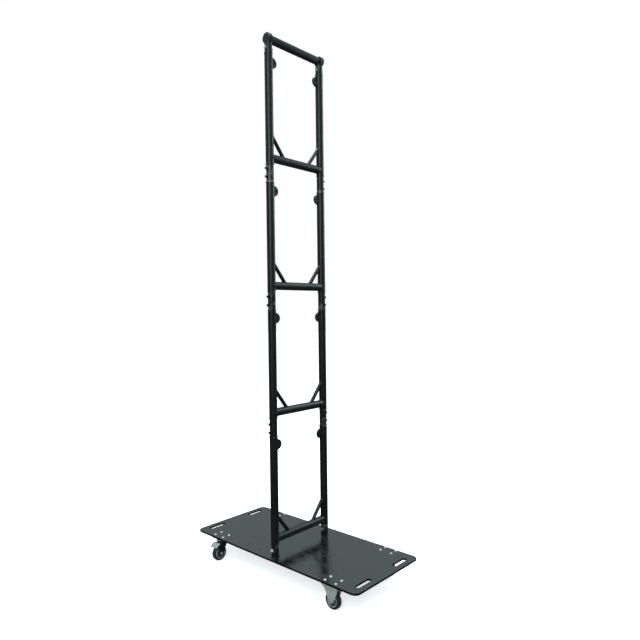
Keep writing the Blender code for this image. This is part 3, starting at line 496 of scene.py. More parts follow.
def even_path(path, step):
    """A path's points again, at even distances of about step along it."""
    along = np.concatenate([[0], np.cumsum(np.linalg.norm(np.diff(path, axis=0), axis=1))])
    wanted = np.linspace(0, along[-1], int(along[-1] / step) + 2)
    return np.column_stack([np.interp(wanted, along, path[:, i]) for i in range(path.shape[1])])


def leg_edge(height, corner, nose, radius, side):
    """How far a leg reaches at each height. It follows the straight line from the mount's corner that touches the
    nose's circle, and below the touching point the circle: nose + side * sqrt(r^2 - (height - nose height)^2)."""
    away = (corner[0] - nose[0], corner[1] - nose[1])
    touch = atan2(away[1], away[0]) - side * acos(radius / hypot(*away))
    at = (nose[0] + radius * cos(touch), nose[1] + radius * sin(touch))
    line = at[0] + (corner[0] - at[0]) * (height - at[1]) / (corner[1] - at[1])
    circle = nose[0] + side * np.sqrt(np.clip(radius**2 - (height - nose[1]) ** 2, 0, None))
    return np.where(height > at[1], line, circle)


def folded_sheet(path, low, high, thick, across, ease=0.0006):
    """A sheet folded along a path. Its section, a rectangle with rounded corners, is carried along the path: a point
    is path + middle across + half width less inset + half thickness less inset along the sheet's normal."""
    across = np.asarray(across, float)
    tangent = np.gradient(path, axis=0)
    normal = np.cross(across, tangent)
    normal /= np.linalg.norm(normal, axis=1)[:, None]
    quarter = np.radians([0, 30, 60, 90])
    inset_a = ease * np.concatenate([[0], 1 - np.cos(quarter), [2]])
    inset_t = ease * np.concatenate([[2], 1 - np.sin(quarter), [0]])
    corners = ((1, 1, 1), (-1, 1, -1), (-1, -1, 1), (1, -1, -1))
    columns = [(a, t, inset_a[::turn], inset_t[::turn]) for a, t, turn in corners]
    sign_a = np.concatenate([np.full(6, a) for a, t, _, _ in columns])
    sign_t = np.concatenate([np.full(6, t) for a, t, _, _ in columns])
    cut_a = np.concatenate([c[2] for c in columns])
    cut_t = np.concatenate([c[3] for c in columns])
    half, middle = (high - low)[:, None] / 2, (high + low)[:, None] / 2
    wide = middle + sign_a * np.clip(half - cut_a, 0, None)
    deep = sign_t * (thick / 2 - cut_t)
    points = path[:, None] + wide[..., None] * across + (0 * wide + deep)[..., None] * normal[:, None]
    points = np.concatenate([points[:1].mean(1, keepdims=True) + 0 * points[:1], points,
                             points[-1:].mean(1, keepdims=True) + 0 * points[-1:]])
    rounded = ((cut_a > 0) & (cut_t > 0)).astype(float)
    return net(points, False, True, rounded[None, :])


def fork_path(top_half, leg_half, bend, top, bottom, ease, fine=0.0012):
    """The middle of a fork's sheet seen along Y: straight lines up one leg, over the top and down the other, with
    rounded bends."""
    right = [(leg_half, bottom), (leg_half, bend), (top_half, top), (0, top)]
    curve = eased(right, ease, steps=8)[0]
    curve = np.concatenate([curve, curve[-2::-1] * (-1, 1)])
    across, height = even_path(curve, fine).T
    return np.column_stack([across, 0 * across, height])


def axle_bolt(centre, sheet):
    """A hexagon bolt and a lock nut along X outside two legs of the given sheet, with washers and a thread."""
    seat = FORK_INNER + sheet
    x, y, z = centre
    head = hexagon_head((x + seat + 0.0012, y, z), (1, 0, 0), AXLE_FLATS, height=0.0052)
    nut = hexagon_head((x - seat - 0.0012, y, z), (-1, 0, 0), AXLE_FLATS, height=0.0044)
    collar = turned(eased([(0, 0.0052), (0.0066, 0.0052), (0.0074, 0.003), (0.0074, 0), (0, 0)], 0.0006),
                    (x - seat - 0.0012, y, z), (-1, 0, 0), 40)
    rod = round_rod(0.005, -seat, seat, centre, (1, 0, 0))
    rings = [washer((x + side * seat, y, z), (side, 0, 0), inner=0.0052, outer=0.0098, thick=0.0012)
             for side in (-1, 1)]
    return [head, nut, collar, rod, thread((x - seat - 0.005, y, z), (-1, 0, 0), 0.0048, length=0.0025), *rings]


fork_zinc = surfaced(
    "pressed_zinc", plated_steel,
    {"Metal": (0.52, 0.49, 0.46, 1), "Film": (0.34, 0.32, 0.295, 1), "Crystals": 170.0, "Patch": 0.6,
     "Polish": 0.6, "Grime": 1.0}, bump=0.1)
dull_zinc = surfaced(
    "dull_zinc", plated_steel,
    {"Metal": (0.4, 0.43, 0.42, 1), "Film": (0.3, 0.32, 0.31, 1), "Crystals": 240.0, "Patch": 0.4,
     "Polish": 0.45, "Grime": 0.8}, bump=0.1)
axle_zinc = surfaced(
    "axle_bolt_zinc", plated_steel,
    {"Metal": (0.7, 0.7, 0.69, 1), "Film": (0.3, 0.29, 0.27, 1), "Crystals": 420.0, "Patch": 0.25,
     "Polish": 0.24, "Grime": 0.45}, bump=0.15)
for name, side in SIDES:
    x = side * CASTER_X
    top = MOUNT_UNDERSIDE + FIXED_SHEET / 2
    path = fork_path(top_half=0.0390, leg_half=0.0215, bend=MOUNT_UNDERSIDE - 0.032, top=top,
                     bottom=WHEEL_RADIUS - 0.0129, ease=0.006)
    nose = (0, WHEEL_RADIUS - 0.013 + FIXED_NOSE_RADIUS)
    reach = leg_edge(path[:, 2], (0.060, top), nose, FIXED_NOSE_RADIUS, 1)
    fork = folded_sheet(path + (x, FIXED_Y, 0), -reach, reach, FIXED_SHEET, (0, 1, 0))
    fork = mesh_of("fork", [fork])
    fitted(f"fixed_caster_fork_{name}", fork, fork_zinc, "dolly", f"fixed_fork_{name}", slot="zinc")
    bolts = [part for at in caster_bolt_places(side)[:4] for part in deck_bolt(*at)]
    fitted(f"fixed_caster_bolts_{name}", mesh_of("bolts", bolts), bolt_zinc, "dolly", slot="bright_steel")
    axle = mesh_of("axle", axle_bolt((x, FIXED_Y, WHEEL_RADIUS), FIXED_SHEET))
    fitted(f"fixed_axle_bolt_{name}", axle, axle_zinc, "dolly", f"fixed_axle_{name}", slot="axle_steel")

# Swivel casters: a mount plate with a ball race and a kingpin, and below it a black fork that trails its wheel,
# at the plate's +Y end. They are pressed steel like the fixed ones.
TRAIL = 0.026
SWIVEL_SHEET = 0.003
SWIVEL_NOSE_RADIUS = 0.021
CROWN_UNDERSIDE = MOUNT_UNDERSIDE - 0.0223


def swivelled(mesh, side):
    """A mesh that trails towards +Y from a swivel axis at the origin, turned outwards and put in its place."""
    mesh.transform(Matrix.Translation((side * CASTER_X, SWIVEL_Y, 0)) @ Matrix.Rotation(-side * pi / 2, 4, "Z"))
    return mesh


fork_paint = surfaced(
    "black_fork_coat", powder_coat,
    {"Paint": (0.008, 0.010, 0.011, 1), "Bare": (0.1, 0.1, 0.1, 1), "Peel": 900.0, "Sheen": 0.34,
     "Dust": 0.1, "Scuffs": 0.3, "Wear": 0.35}, bump=0.05, Specular_IOR_Level=0.35)
for name, side in SIDES:
    x = side * CASTER_X
    mount = flat_plate("mount", [rounded_box(0.082, 0.120, 0.010, 8)], 0.004, 0.0006)
    mount.transform(Matrix.Translation((x, SWIVEL_Y, MOUNT_UNDERSIDE + 0.002)))
    fitted(f"swivel_mount_plate_{name}", mount, fork_paint, "dolly", f"swivel_mount_{name}", slot="black_steel")
    upper = MOUNT_UNDERSIDE - 0.010
    race = [(0, MOUNT_UNDERSIDE + 0.001), (0.0300, MOUNT_UNDERSIDE + 0.001), (0.0320, MOUNT_UNDERSIDE - 0.0025),
            (0.0377, MOUNT_UNDERSIDE - 0.004), (0.0377, upper), (0.0355, upper), (0.0345, upper + 0.002),
            (0.006, upper + 0.002), (0.006, CROWN_UNDERSIDE - 0.0003), (0.0105, CROWN_UNDERSIDE - 0.0003),
            (0.0105, CROWN_UNDERSIDE - 0.0045), (0.0075, CROWN_UNDERSIDE - 0.0063), (0, CROWN_UNDERSIDE - 0.0063)]
    race = turned(eased(race, 0.0012), (x, SWIVEL_Y, 0), sides=72)
    fitted(f"swivel_upper_race_{name}", mesh_of("race", [race]), fork_zinc, "dolly", slot="black_steel")
    bolts = [part for at in caster_bolt_places(side)[4:] for part in deck_bolt(*at)]
    fitted(f"swivel_caster_bolts_{name}", mesh_of("bolts", bolts), bolt_zinc, "dolly", slot="bright_steel")

    body = f"swivel_{name}"
    top = CROWN_UNDERSIDE + SWIVEL_SHEET / 2
    path = fork_path(top_half=0.0210, leg_half=0.0210, bend=0.08, top=top, bottom=WHEEL_RADIUS - 0.0139, ease=0.006)
    nose = (TRAIL, WHEEL_RADIUS - 0.014 + SWIVEL_NOSE_RADIUS)
    back = leg_edge(path[:, 2], (-0.030, top), nose, SWIVEL_NOSE_RADIUS, -1)
    front = leg_edge(path[:, 2], (0.036, top), nose, SWIVEL_NOSE_RADIUS, 1)
    fork = folded_sheet(path, back, front, SWIVEL_SHEET, (0, 1, 0))
    lower = CROWN_UNDERSIDE + 0.002
    cup = [(0.0065, lower), (0.0346, lower), (0.0346, lower + 0.004), (0.0330, lower + 0.0085),
           (0.0315, lower + 0.0098), (0.0065, lower + 0.0098)]
    cup = turned(eased(cup, 0.001, ring=True), (0, 0, 0), sides=72, ring=True)
    mesh = swivelled(mesh_of("fork", [fork, cup]), side)
    fitted(f"swivel_caster_fork_{name}", mesh, fork_paint, body, f"swivel_fork_{name}", slot="black_steel")
    mesh = swivelled(mesh_of("axle", axle_bolt((0, TRAIL, WHEEL_RADIUS), SWIVEL_SHEET)), side)
    fitted(f"swivel_axle_bolt_{name}", mesh, axle_zinc, body, f"swivel_axle_{name}", slot="axle_steel")

# Brake pedals: a bent zinc-plated strip on a cross pin through the legs of each swivel fork, above the tyre. A foot
# presses its tip down, which brings its underside on to the tread.
PEDAL_Y = TRAIL
PEDAL_Z = CROWN_UNDERSIDE - 0.0075
PEDAL_TIP = 0.049

for name, side in SIDES:
    bend = eased([(0, 0), (0.018, 0.008), (PEDAL_TIP, -0.014)], 0.006, steps=10)[0]
    bend = even_path(bend, 0.0009)
    path = np.column_stack([0 * bend[:, 0], PEDAL_Y + bend[:, 0], PEDAL_Z + bend[:, 1]])
    narrow, wide, shoulder, corner_radius = FORK_INNER - 0.001, 0.033, 0.0135, 0.003
    reach = np.interp(bend[:, 0], [0, shoulder - 0.0008, shoulder + 0.0008], [narrow, narrow, wide])
    corner = np.clip(corner_radius - (PEDAL_TIP - bend[:, 0]), 0, corner_radius)
    reach = reach - corner_radius + np.sqrt(corner_radius**2 - corner**2)
    tread = folded_sheet(path, -reach, reach, 0.003, (1, 0, 0), ease=0.0008)
    barrel = round_rod(0.005, -narrow, narrow, (0, PEDAL_Y, PEDAL_Z), (1, 0, 0), ease=0.0006, sides=36)
    pin = round_rod(0.003, -0.0232, 0.0232, (0, PEDAL_Y, PEDAL_Z), (1, 0, 0), ease=0.0008, sides=28)
    mesh = swivelled(mesh_of("pedal", [tread, barrel, pin]), side)
    fitted(f"brake_tread_{name}", mesh, dull_zinc, f"brake_{name}", f"brake_pedal_{name}", slot="zinc")

# Wheels: a grey moulded body with five ribs each side and a hub round the axle, and a black rubber tyre pressed on
# it. The tread is rubbed a paler grey where it rolls, and this paleness is also a painted highlight. The body's rim
# ring is painted light grey as a painted highlight.
SPOKES = 5


def moulded_group():
    """Moulded plastic or rubber: a fine spark-eroded grain, soft clouds of tone, and scuffs and painted highlight
    where edge is set.
    """
    tree, given, wanted = shader_group(
        "moulded",
        {"Stock": (0.1, 0.1, 0.1, 1), "Wear and Highlight": (0.2, 0.2, 0.2, 1), "Grain": 1500.0, "Matt": 0.6, "Scuffs": 0.4},
        ("Color", "Roughness", "Height"))
    where = node(tree, "TexCoord").outputs["Object"]
    grain = node(tree, "TexNoise", {"Vector": where, "Scale": given["Grain"], "Detail": 2.0}).outputs["Fac"]
    cloud = noise(tree, where, 45.0, 4.0)
    edge = node(tree, "Attribute", attribute_name="edge").outputs["Fac"]
    # Where edge is set, the paler colour is scuffing on the tread, and a painted highlight on the tread and on the
    # wheel's rim ring.
    scuff = product(tree, between(tree, cloud, 0.35, 0.7, 0.3, 1.0), edge)
    scuff = product(tree, scuff, given["Scuffs"])
    value = between(tree, cloud, 0.3, 0.7, 0.85, 1.15)
    stock = node(tree, "HueSaturation", {"Color": given["Stock"], "Value": value}).outputs[0]
    tree.links.new(blended(tree, scuff, stock, given["Wear and Highlight"]), wanted["Color"])
    matt = maths(tree, "ADD", given["Matt"], between(tree, cloud, 0.3, 0.7, -0.08, 0.08))
    tree.links.new(maths(tree, "ADD", matt, product(tree, scuff, 0.2)), wanted["Roughness"])
    tree.links.new(grain, wanted["Height"])
    return tree


def smooth(value, low, high):
    """0 below low, 1 above high, and 3 t^2 - 2 t^3 of the way t between them."""
    t = np.clip((value - low) / (high - low), 0, 1)
    return t * t * (3 - 2 * t)


def wheel_body(centre, sides=180):
    """A wheel about X. Its half width at radius r and angle a is the greatest of the web, the hub boss inside
    12 mm, the rim outside 30 mm and the ribs, whose height falls off with r * |sin| of the angle from a rib."""
    angle = full_turn(sides)
    radius = np.concatenate([[0.0054, 0.0100, 0.0116], np.linspace(0.0121, 0.0150, 6), np.linspace(0.0165, 0.0285, 9),
                             np.linspace(0.0296, 0.0322, 6), [0.0338, 0.0347]])[:, None]
    from_rib = radius * np.abs(np.sin(SPOKES * angle / 2)) * 2 / SPOKES
    rib = 0.0122 * (1 - smooth(from_rib, 0.0012, 0.0024))
    hub = 0.0192 - 0.0135 * smooth(radius, 0.0118, 0.0138)
    rim = 0.0055 + 0.0102 * smooth(radius, 0.0300, 0.0318) - 0.0006 * smooth(radius, 0.0338, 0.0347)
    half = np.maximum(np.maximum(rib, hub), np.maximum(rim, 0.0057))
    half = np.where(radius < 0.0117, 0.0192, half)
    radius, half = radius + 0 * angle, half + 0 * angle
    radius, half = np.concatenate([radius, radius[::-1]]), np.concatenate([half, -half[::-1]])
    # Painted highlight: the rim ring from 30 mm outwards gets the paler colour.
    rubbed = smooth(radius, 0.0302, 0.0320)
    return net(around(centre, (1, 0, 0), radius, half, angle + 0 * radius), True, True, rubbed)


def tyre(centre):
    """A rubber ring about X with a crowned tread, a fine mould line round its middle and rounded shoulders."""
    half = [(0.0353, 0.0155), (0.0410, 0.0160), (0.0462, 0.0152), (0.0496, 0.0110), (0.0500, 0.0050),
            (0.0500, 0.0006)]
    corners = half + [(0.0501, 0)] + [(r, -x) for r, x in half[::-1]]
    curve, weights = eased(corners, 0.0022, ring=True, steps=5)
    # The tread and its shoulders get the paler colour: wear where it rolls, and a painted highlight.
    return turned((curve, smooth(curve[:, 0], 0.0470, 0.0495)), centre, (1, 0, 0), 128, ring=True)


moulded = moulded_group()
# The wheel's paler colour is a painted highlight on its rim ring. The tyre's is tread wear together with a painted
# highlight.
wheel_grey = surfaced(
    "wheel_moulding", moulded,
    {"Stock": (0.055, 0.066, 0.07, 1), "Wear and Highlight": (0.6, 0.62, 0.62, 1), "Grain": 1400.0, "Matt": 0.42,
     "Scuffs": 0.9}, bump=0.05, Specular_IOR_Level=0.4)
tyre_black = surfaced(
    "tyre_moulding", moulded,
    {"Stock": (0.014, 0.0155, 0.016, 1), "Wear and Highlight": (0.05, 0.052, 0.051, 1), "Grain": 900.0, "Matt": 0.6,
     "Scuffs": 0.5}, bump=0.08, Specular_IOR_Level=0.3)
for name, side in SIDES:
    fixed_centre, swivel_centre = (side * CASTER_X, FIXED_Y, WHEEL_RADIUS), (0, TRAIL, WHEEL_RADIUS)
    for part, form, look, slot in (("wheel", wheel_body, wheel_grey, "wheel_plastic"),
                                   ("tyre", tyre, tyre_black, "tyre_rubber")):
        fixed_mesh = mesh_of(part, [form(fixed_centre)])
        swivel_mesh = swivelled(mesh_of(part, [form(swivel_centre)]), side)
        for kind, mesh in (("fixed", fixed_mesh), ("swivel", swivel_mesh)):
            piece, body, solid = f"{kind}_{part}_moulding_{name}", f"{kind}_wheel_{name}", f"{kind}_{part}_{name}"
            fitted(piece, mesh, look, body, solid, slot=slot)

# Uprights: eight aluminium tubes with a turned ring and a slimmer receiver at each end and a lug welded on near
# the top. All are powder coated black, and the coat is rubbed bright on the rings, which knock together.
PITCH = 0.787
TUBE_RADIUS, TUBE_WALL = 0.0255, 0.003
PIN_OFFSET = 0.026
LUG_DROP = 0.107


def bead(path, outward, radius, ripple=0.0022):
    """A weld bead round a closed path: a circle square to the path at each point, whose radius is 0.9 + 0.2 |sin| of
    the given one, with one swell every ripple of the distance along, as a hand-fed weld has."""
    step = np.linalg.norm(np.roll(path, -1, 0) - path, axis=1)
    along = np.cumsum(step)
    tangent = np.roll(path, -1, 0) - np.roll(path, 1, 0)
    tangent /= np.linalg.norm(tangent, axis=1)[:, None]
    outward = outward - (outward * tangent).sum(1, keepdims=True) * tangent
    outward /= np.linalg.norm(outward, axis=1)[:, None]
    aside = np.cross(tangent, outward)
    swell = radius * (0.9 + 0.2 * np.abs(np.sin(pi * along / along[-1] * round(along[-1] / ripple))))
    angle = full_turn(8)
    ring = np.cos(angle)[..., None] * outward[:, None] + np.sin(angle)[..., None] * aside[:, None]
    return net(path[:, None] + swell[:, None, None] * ring, True, True)


def lug_outline():
    """A lug's outline and its eye's. The lug's root lies in the tube's wall, and lines from it touch a round nose."""
    nose, half, radius = TUBE_RADIUS + 0.006, 0.037, 0.031
    root = TUBE_RADIUS - 0.002
    touch = atan2(half, root - nose) - acos(radius / hypot(root - nose, half))
    curve = arc((nose, 0), radius, -np.degrees(touch), np.degrees(touch), 28)
    eye = round_hole((TUBE_RADIUS + 0.0185, 0), 0.006, 36)
    return np.concatenate([[(root, -half)], curve, [(root, half)]]), eye


def upright_tube():
    """A tube on its joint plane: the profile of its receivers, rings and tapered bores turned about Z, less two pin
    holes. Its edge weight is 1 on the rings, 0.3 on the receivers and 0 elsewhere."""
    receiver, ring, bore = 0.0240, 0.0270, TUBE_RADIUS - TUBE_WALL
    seam, neck, shoulder = 0.0003, 0.053, 0.059
    mouth, throat, depth = 0.0198, 0.0163, 0.047
    end = [(receiver, seam), (receiver, neck), (ring, neck), (ring, shoulder), (TUBE_RADIUS, shoulder)]
    other = [(radius, PITCH - height) for radius, height in end[::-1]]
    other[-1] = (receiver, PITCH)
    inside = [(mouth, PITCH), (throat, PITCH - depth), (bore, PITCH - neck), (bore, neck), (throat, depth),
              (mouth, seam)]
    profile = eased(end + other + inside, 0.0010, ring=True, steps=3)
    tube = mesh_of("tube", [turned(profile, (0, 0, 0), sides=72, ring=True)])
    source, cutters = in_scene("tube", tube), []
    for height in (PIN_OFFSET, PITCH - PIN_OFFSET):
        rod = round_rod(0.0058, -0.04, 0.04, (0, 0, height), (1, 0, 0), sides=32, steps=1)
        cutters.append(in_scene("pin_hole", mesh_of("pin_hole", [rod])))
        cut = source.modifiers.new("pin_hole", "BOOLEAN")
        cut.operation, cut.solver, cut.object = "DIFFERENCE", "EXACT", cutters[-1]
    mesh = worked_out(source, *cutters)
    mesh.shade_smooth()
    mesh.set_sharp_from_angle(angle=CREASE)
    x, y, height = triples(mesh.vertices, "co").T
    from_axis = np.hypot(x, y)
    on_ring = from_axis > (TUBE_RADIUS + ring) / 2
    near_end = np.abs(height - PITCH / 2) > PITCH / 2 - (neck + 0.0005)
    on_receiver = near_end & (from_axis > receiver - 0.0012)
    rubbed = np.where(on_ring, 1.0, 0.3 * on_receiver).astype(np.float32)
    mesh.attributes["edge"].data.foreach_set("value", rubbed)
    return mesh


def lug():
    """The lug standing in XZ at its height, its rims rounded."""
    mesh = flat_plate("lug", lug_outline(), 0.014, 0.0009)
    mesh.transform(Matrix.Translation((0, 0, PITCH - LUG_DROP)) @ Matrix.Rotation(pi / 2, 4, "X"))
    return mesh


def lug_weld():
    """The bead round a lug's root, a rounded rectangle laid on the tube: x = sqrt(R^2 - y^2)."""
    outline = rounded_box(0.0155, 0.0755, 0.003, 6)
    y, rise = even_path(np.concatenate([outline, outline[:1]]), 0.0007).T
    path = np.column_stack([np.sqrt(TUBE_RADIUS**2 - y**2), y, PITCH - LUG_DROP + rise])
    return bead(path[:-1], path[:-1] * (1, 1, 0), 0.0017)


def joined(name, meshes, move=Matrix()):
    """Several meshes as one, moved to their place."""
    shape = bmesh.new()
    for mesh in meshes:
        shape.from_mesh(mesh)
    made = bpy.data.meshes.new(name)
    shape.to_mesh(made)
    shape.free()
    made.transform(move)
    return made


tube_paint = surfaced(
    "tube_powder_coat", powder_coat,
    {"Paint": (0.0092, 0.0092, 0.0074, 1), "Bare": (0.24, 0.23, 0.2, 1), "Peel": 800.0, "Sheen": 0.4,
     "Dust": 0.04, "Scuffs": 0.06, "Wear": 0.7}, bump=0.02, Specular_IOR_Level=0.28)
upright_parts = [upright_tube(), lug(), mesh_of("lug_weld", [lug_weld()])]
for name, side in SIDES:
    for level in range(4):
        move = Matrix.Translation((side * UPRIGHT_X, 0, PLATE_TOP + level * PITCH))
        if side > 0:
            move = move @ Matrix.Rotation(pi, 4, "Z")
        mesh = joined("upright", upright_parts, move)
        node_name = f"upright_{name}_{level + 1}"
        fitted(f"{node_name}_tube", mesh, tube_paint, "dolly", node_name, slot="tube_paint")

# Cross bars: a tube of the same size between each pair of uprights, saddled and welded to them, with two slender
# braces over its ends. The welds are hand-fed beads under the coat.
BAR_HEIGHT = 0.094
SADDLE_RADIUS = TUBE_RADIUS + 0.0003
BRACE_REACH, BRACE_RISE, BRACE_RADIUS = 0.110, 0.130, 0.012


def saddle(across):
    """How far the upright's surface lies inside its axis at a distance across it: sqrt(r^2 - across^2)."""
    return np.sqrt(np.clip(SADDLE_RADIUS**2 - across**2, 0, None))


def bar_tube(z):
    """A tube along X, out along its outside and back along its bore: x = share of the way * (half spacing -
    sqrt(r^2 - y^2)), so both its ends fit the uprights."""
    angle = full_turn(64)
    share = np.concatenate([np.linspace(-1, 1, 9), np.linspace(1, -1, 9)])[:, None]
    radius = np.where(np.arange(len(share))[:, None] < 9, TUBE_RADIUS, TUBE_RADIUS - TUBE_WALL)
    y, up = radius * np.cos(angle), radius * np.sin(angle)
    x = share * (UPRIGHT_X - saddle(y))
    return net(np.stack([x, y, z + up], axis=-1), True, True)


def bar_weld(z, side):
    """The bead where a bar meets an upright: x = side * (half spacing - sqrt(r^2 - y^2))."""
    angle = full_turn(240)[0]
    y, up = (TUBE_RADIUS + 0.0004) * np.cos(angle), (TUBE_RADIUS + 0.0004) * np.sin(angle)
    path = np.column_stack([side * (UPRIGHT_X - saddle(y) - 0.0006), y, z + up])
    outward = np.column_stack([0 * angle - side, np.cos(angle), np.sin(angle)])
    return bead(path, outward, 0.0026)


def brace_ends(angle, radius, side):
    """A brace's start on the bar and its end on the upright, for each angle round it. Its axis lies in XZ, so both
    follow from y: the bar's surface is at height sqrt(R^2 - y^2), the upright's at half spacing - sqrt(R^2 - y^2)."""
    foot = np.array([UPRIGHT_X - BRACE_REACH, TUBE_RADIUS])
    head = np.array([UPRIGHT_X - TUBE_RADIUS, BRACE_RISE])
    along = (head - foot) / np.linalg.norm(head - foot)
    y = radius * np.cos(angle)
    beside = foot + radius * np.sin(angle)[..., None] * np.array([-along[1], along[0]])
    start = (np.sqrt(TUBE_RADIUS**2 - y**2) - beside[..., 1]) / along[1]
    stop = (UPRIGHT_X - saddle(y) - beside[..., 0]) / along[0]
    ends = [beside + reach[..., None] * along for reach in (start, stop)]
    return [np.stack([side * end[..., 0], y, end[..., 1]], axis=-1) for end in ends]


def brace(z, side):
    """A slender tube from the bar to the upright, its ends cut to fit, and a bead at each end."""
    angle = full_turn(36)
    start, stop = brace_ends(angle, BRACE_RADIUS, side)
    share = np.linspace(0, 1, 6)[:, None, None]
    wall = start + share * (stop - start)
    caps = [end.mean(1, keepdims=True) + 0 * end for end in (start, stop)]
    tube = net(np.concatenate([caps[0], wall, caps[1]]) + (0, 0, z), False, True)
    fine = full_turn(96)[0]
    low, high = (end + (0, 0, z) for end in brace_ends(fine, BRACE_RADIUS + 0.0006, side))
    return [tube, bead(low, low - low.mean(0), 0.0017), bead(high, high - high.mean(0), 0.0017)]


for level in range(4):
    z = PLATE_TOP + level * PITCH + BAR_HEIGHT
    parts = [bar_tube(z), *[bar_weld(z, side) for _, side in SIDES]]
    parts += [part for _, side in SIDES for part in brace(z, side)]
    name = f"cross_bar_{level + 1}"
    fitted(f"{name}_welded", mesh_of("cross_bar", parts), tube_paint, "dolly", name, slot="tube_paint")

# Couplers and lock pins: a turned aluminium cone sits in both receivers of a joint, and two dark steel pins go
# through receiver and cone from outside. A foot and a top fitting have one zinc cross bolt instead.
cone_metal = surfaced(
    "turned_aluminium", plated_steel,
    {"Metal": (0.7, 0.71, 0.72, 1), "Film": (0.35, 0.35, 0.34, 1), "Crystals": 600.0, "Patch": 0.15,
     "Polish": 0.28, "Grime": 0.3}, bump=0.2)
pin_steel = surfaced(
    "black_pin_steel", powder_coat,
    {"Paint": (0.005, 0.005, 0.006, 1), "Bare": (0.08, 0.08, 0.08, 1), "Peel": 1600.0, "Sheen": 0.42,
     "Dust": 0.05, "Scuffs": 0.2, "Wear": 0.4}, bump=0.05, Specular_IOR_Level=0.25)
CROSS_FLATS = 0.0165
PIN_SEAT, PIN_HEAD, PIN_GROOVE, PIN_SHANK = 0.0243, 0.008, 0.0068, 0.0055
PIN_PROFILE = [(0, PIN_SEAT + 0.013), (PIN_HEAD, PIN_SEAT + 0.013), (PIN_HEAD, PIN_SEAT + 0.0085),
               (PIN_GROOVE, PIN_SEAT + 0.0078), (PIN_GROOVE, PIN_SEAT + 0.006), (PIN_HEAD, PIN_SEAT + 0.0053),
               (PIN_HEAD, PIN_SEAT), (PIN_SHANK, PIN_SEAT), (PIN_SHANK, -0.0283), (0.0030, -0.0310), (0, -0.0310)]
for name, side in SIDES:
    for cone in [f"base_coupler_{name}"] + [f"coupler_{name}_{joint}" for joint in (1, 2, 3)]:
        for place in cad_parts[cone].material_slots:
            place.material = cone_metal
    for joint in (1, 2, 3):
        for where, offset in (("lower", -PIN_OFFSET), ("upper", PIN_OFFSET)):
            centre = (side * UPRIGHT_X, 0, PLATE_TOP + joint * PITCH + offset)
            mesh = mesh_of("pin", [turned(eased(PIN_PROFILE, 0.0011), centre, (side, 0, 0), 40)])
            pin_name = f"lock_pin_{name}_{joint}_{where}"
            fitted(f"{pin_name}_turned", mesh, pin_steel, pin_name, pin_name, slot="dark_steel")


def cross_bolt(centre, side):
    """A hexagon bolt through an upright, its head and washer outside, its nut and thread inside."""
    x, y, z = centre
    seat = 0.0241
    head = hexagon_head((x + side * (seat + 0.0012), y, z), (side, 0, 0), CROSS_FLATS, height=0.0061)
    nut = hexagon_head((x - side * (seat + 0.0012), y, z), (-side, 0, 0), CROSS_FLATS, height=0.0061)
    rod = round_rod(0.0055, -seat, seat, centre, (1, 0, 0))
    rings = [washer((x + turn * seat, y, z), (turn, 0, 0), inner=0.0057, outer=0.0098, thick=0.0013)
             for turn in (-1, 1)]
    tail = thread((x - side * (seat + 0.0062), y, z), (-side, 0, 0), 0.0053, length=0.0038, pitch=0.0016, sides=24)
    return [head, nut, rod, *rings, tail]


for name, side in SIDES:
    ends = (("base", PLATE_TOP + PIN_OFFSET, bolt_zinc), ("top", PLATE_TOP + 4 * PITCH - PIN_OFFSET, dull_zinc))
    for where, z, look in ends:
        mesh = mesh_of("cross_bolt", cross_bolt((side * UPRIGHT_X, 0, z), side))
        fitted(f"{where}_cross_bolt_{name}", mesh, look, "dolly", f"{where}_bolt_{name}", slot="bright_steel")
        also_wearing(mesh, dull_zinc, lambda x, up: side * x < UPRIGHT_X)

# Top bar: a coated aluminium tube that ends in a cast cap on each upright. A cap is a thick disc over a short
# neck, with a cone below it in the upright's receiver.
TOP_PLANE = PLATE_TOP + 4 * PITCH
BAR_AXIS = TOP_PLANE + 0.0345
CAP_BORE, NECK_RADIUS = 0.0258, 0.0240


def cap_neck(x):
    """A round neck from the upright to the tube's underside: its top follows height = axis - sqrt(R^2 - y^2)."""
    angle = full_turn(64)
    top = BAR_AXIS - np.sqrt(CAP_BORE**2 - (NECK_RADIUS * np.sin(angle)) ** 2)
    foot = TOP_PLANE + 0 * top
    height = np.concatenate([foot + 0.0003, foot + 0.0010, top, BAR_AXIS - CAP_BORE + 0 * top])
    radius = np.array([[0.0231], [NECK_RADIUS], [NECK_RADIUS], [0.0]]) + 0 * angle
    points = around((x, 0, 0), (0, 0, 1), radius, height, angle + pi / 2 + 0 * radius)
    return net(points, False, True)


for name, side in SIDES:
    disc = [(0, 0.0180), (0.0255, 0.0180), (0.0265, 0.0168), (0.0290, 0.0180), (0.0335, 0.0180), (0.0335, -0.0090),
            (CAP_BORE, -0.0090), (CAP_BORE, 0.0140), (0, 0.0140)]
    disc = turned(eased(disc, 0.0018), (side * UPRIGHT_X, 0, BAR_AXIS), (side, 0, 0), 96)
    shank = [(0, 0.002), (0.0194, 0.002), (0.0194, 0), (0.0160, -0.047), (0, -0.047)]
    shank = turned(eased(shank, 0.001), (side * UPRIGHT_X, 0, TOP_PLANE))
    mesh = mesh_of("cap", [disc, cap_neck(side * UPRIGHT_X), shank])
    fitted(f"top_cap_{name}", mesh, tube_paint, "dolly", f"top_fitting_{name}", slot="tube_paint")

end = UPRIGHT_X + 0.0137
bore = TUBE_RADIUS - TUBE_WALL
tube = [(TUBE_RADIUS, -end), (TUBE_RADIUS, end), (bore, end), (bore, -end)]
tube = turned(eased(tube, 0.0006, ring=True), (0, 0, BAR_AXIS), (1, 0, 0), 72, ring=True)
fitted("top_bar_tube", mesh_of("top_bar", [tube]), tube_paint, "dolly", "top_bar", slot="tube_paint")

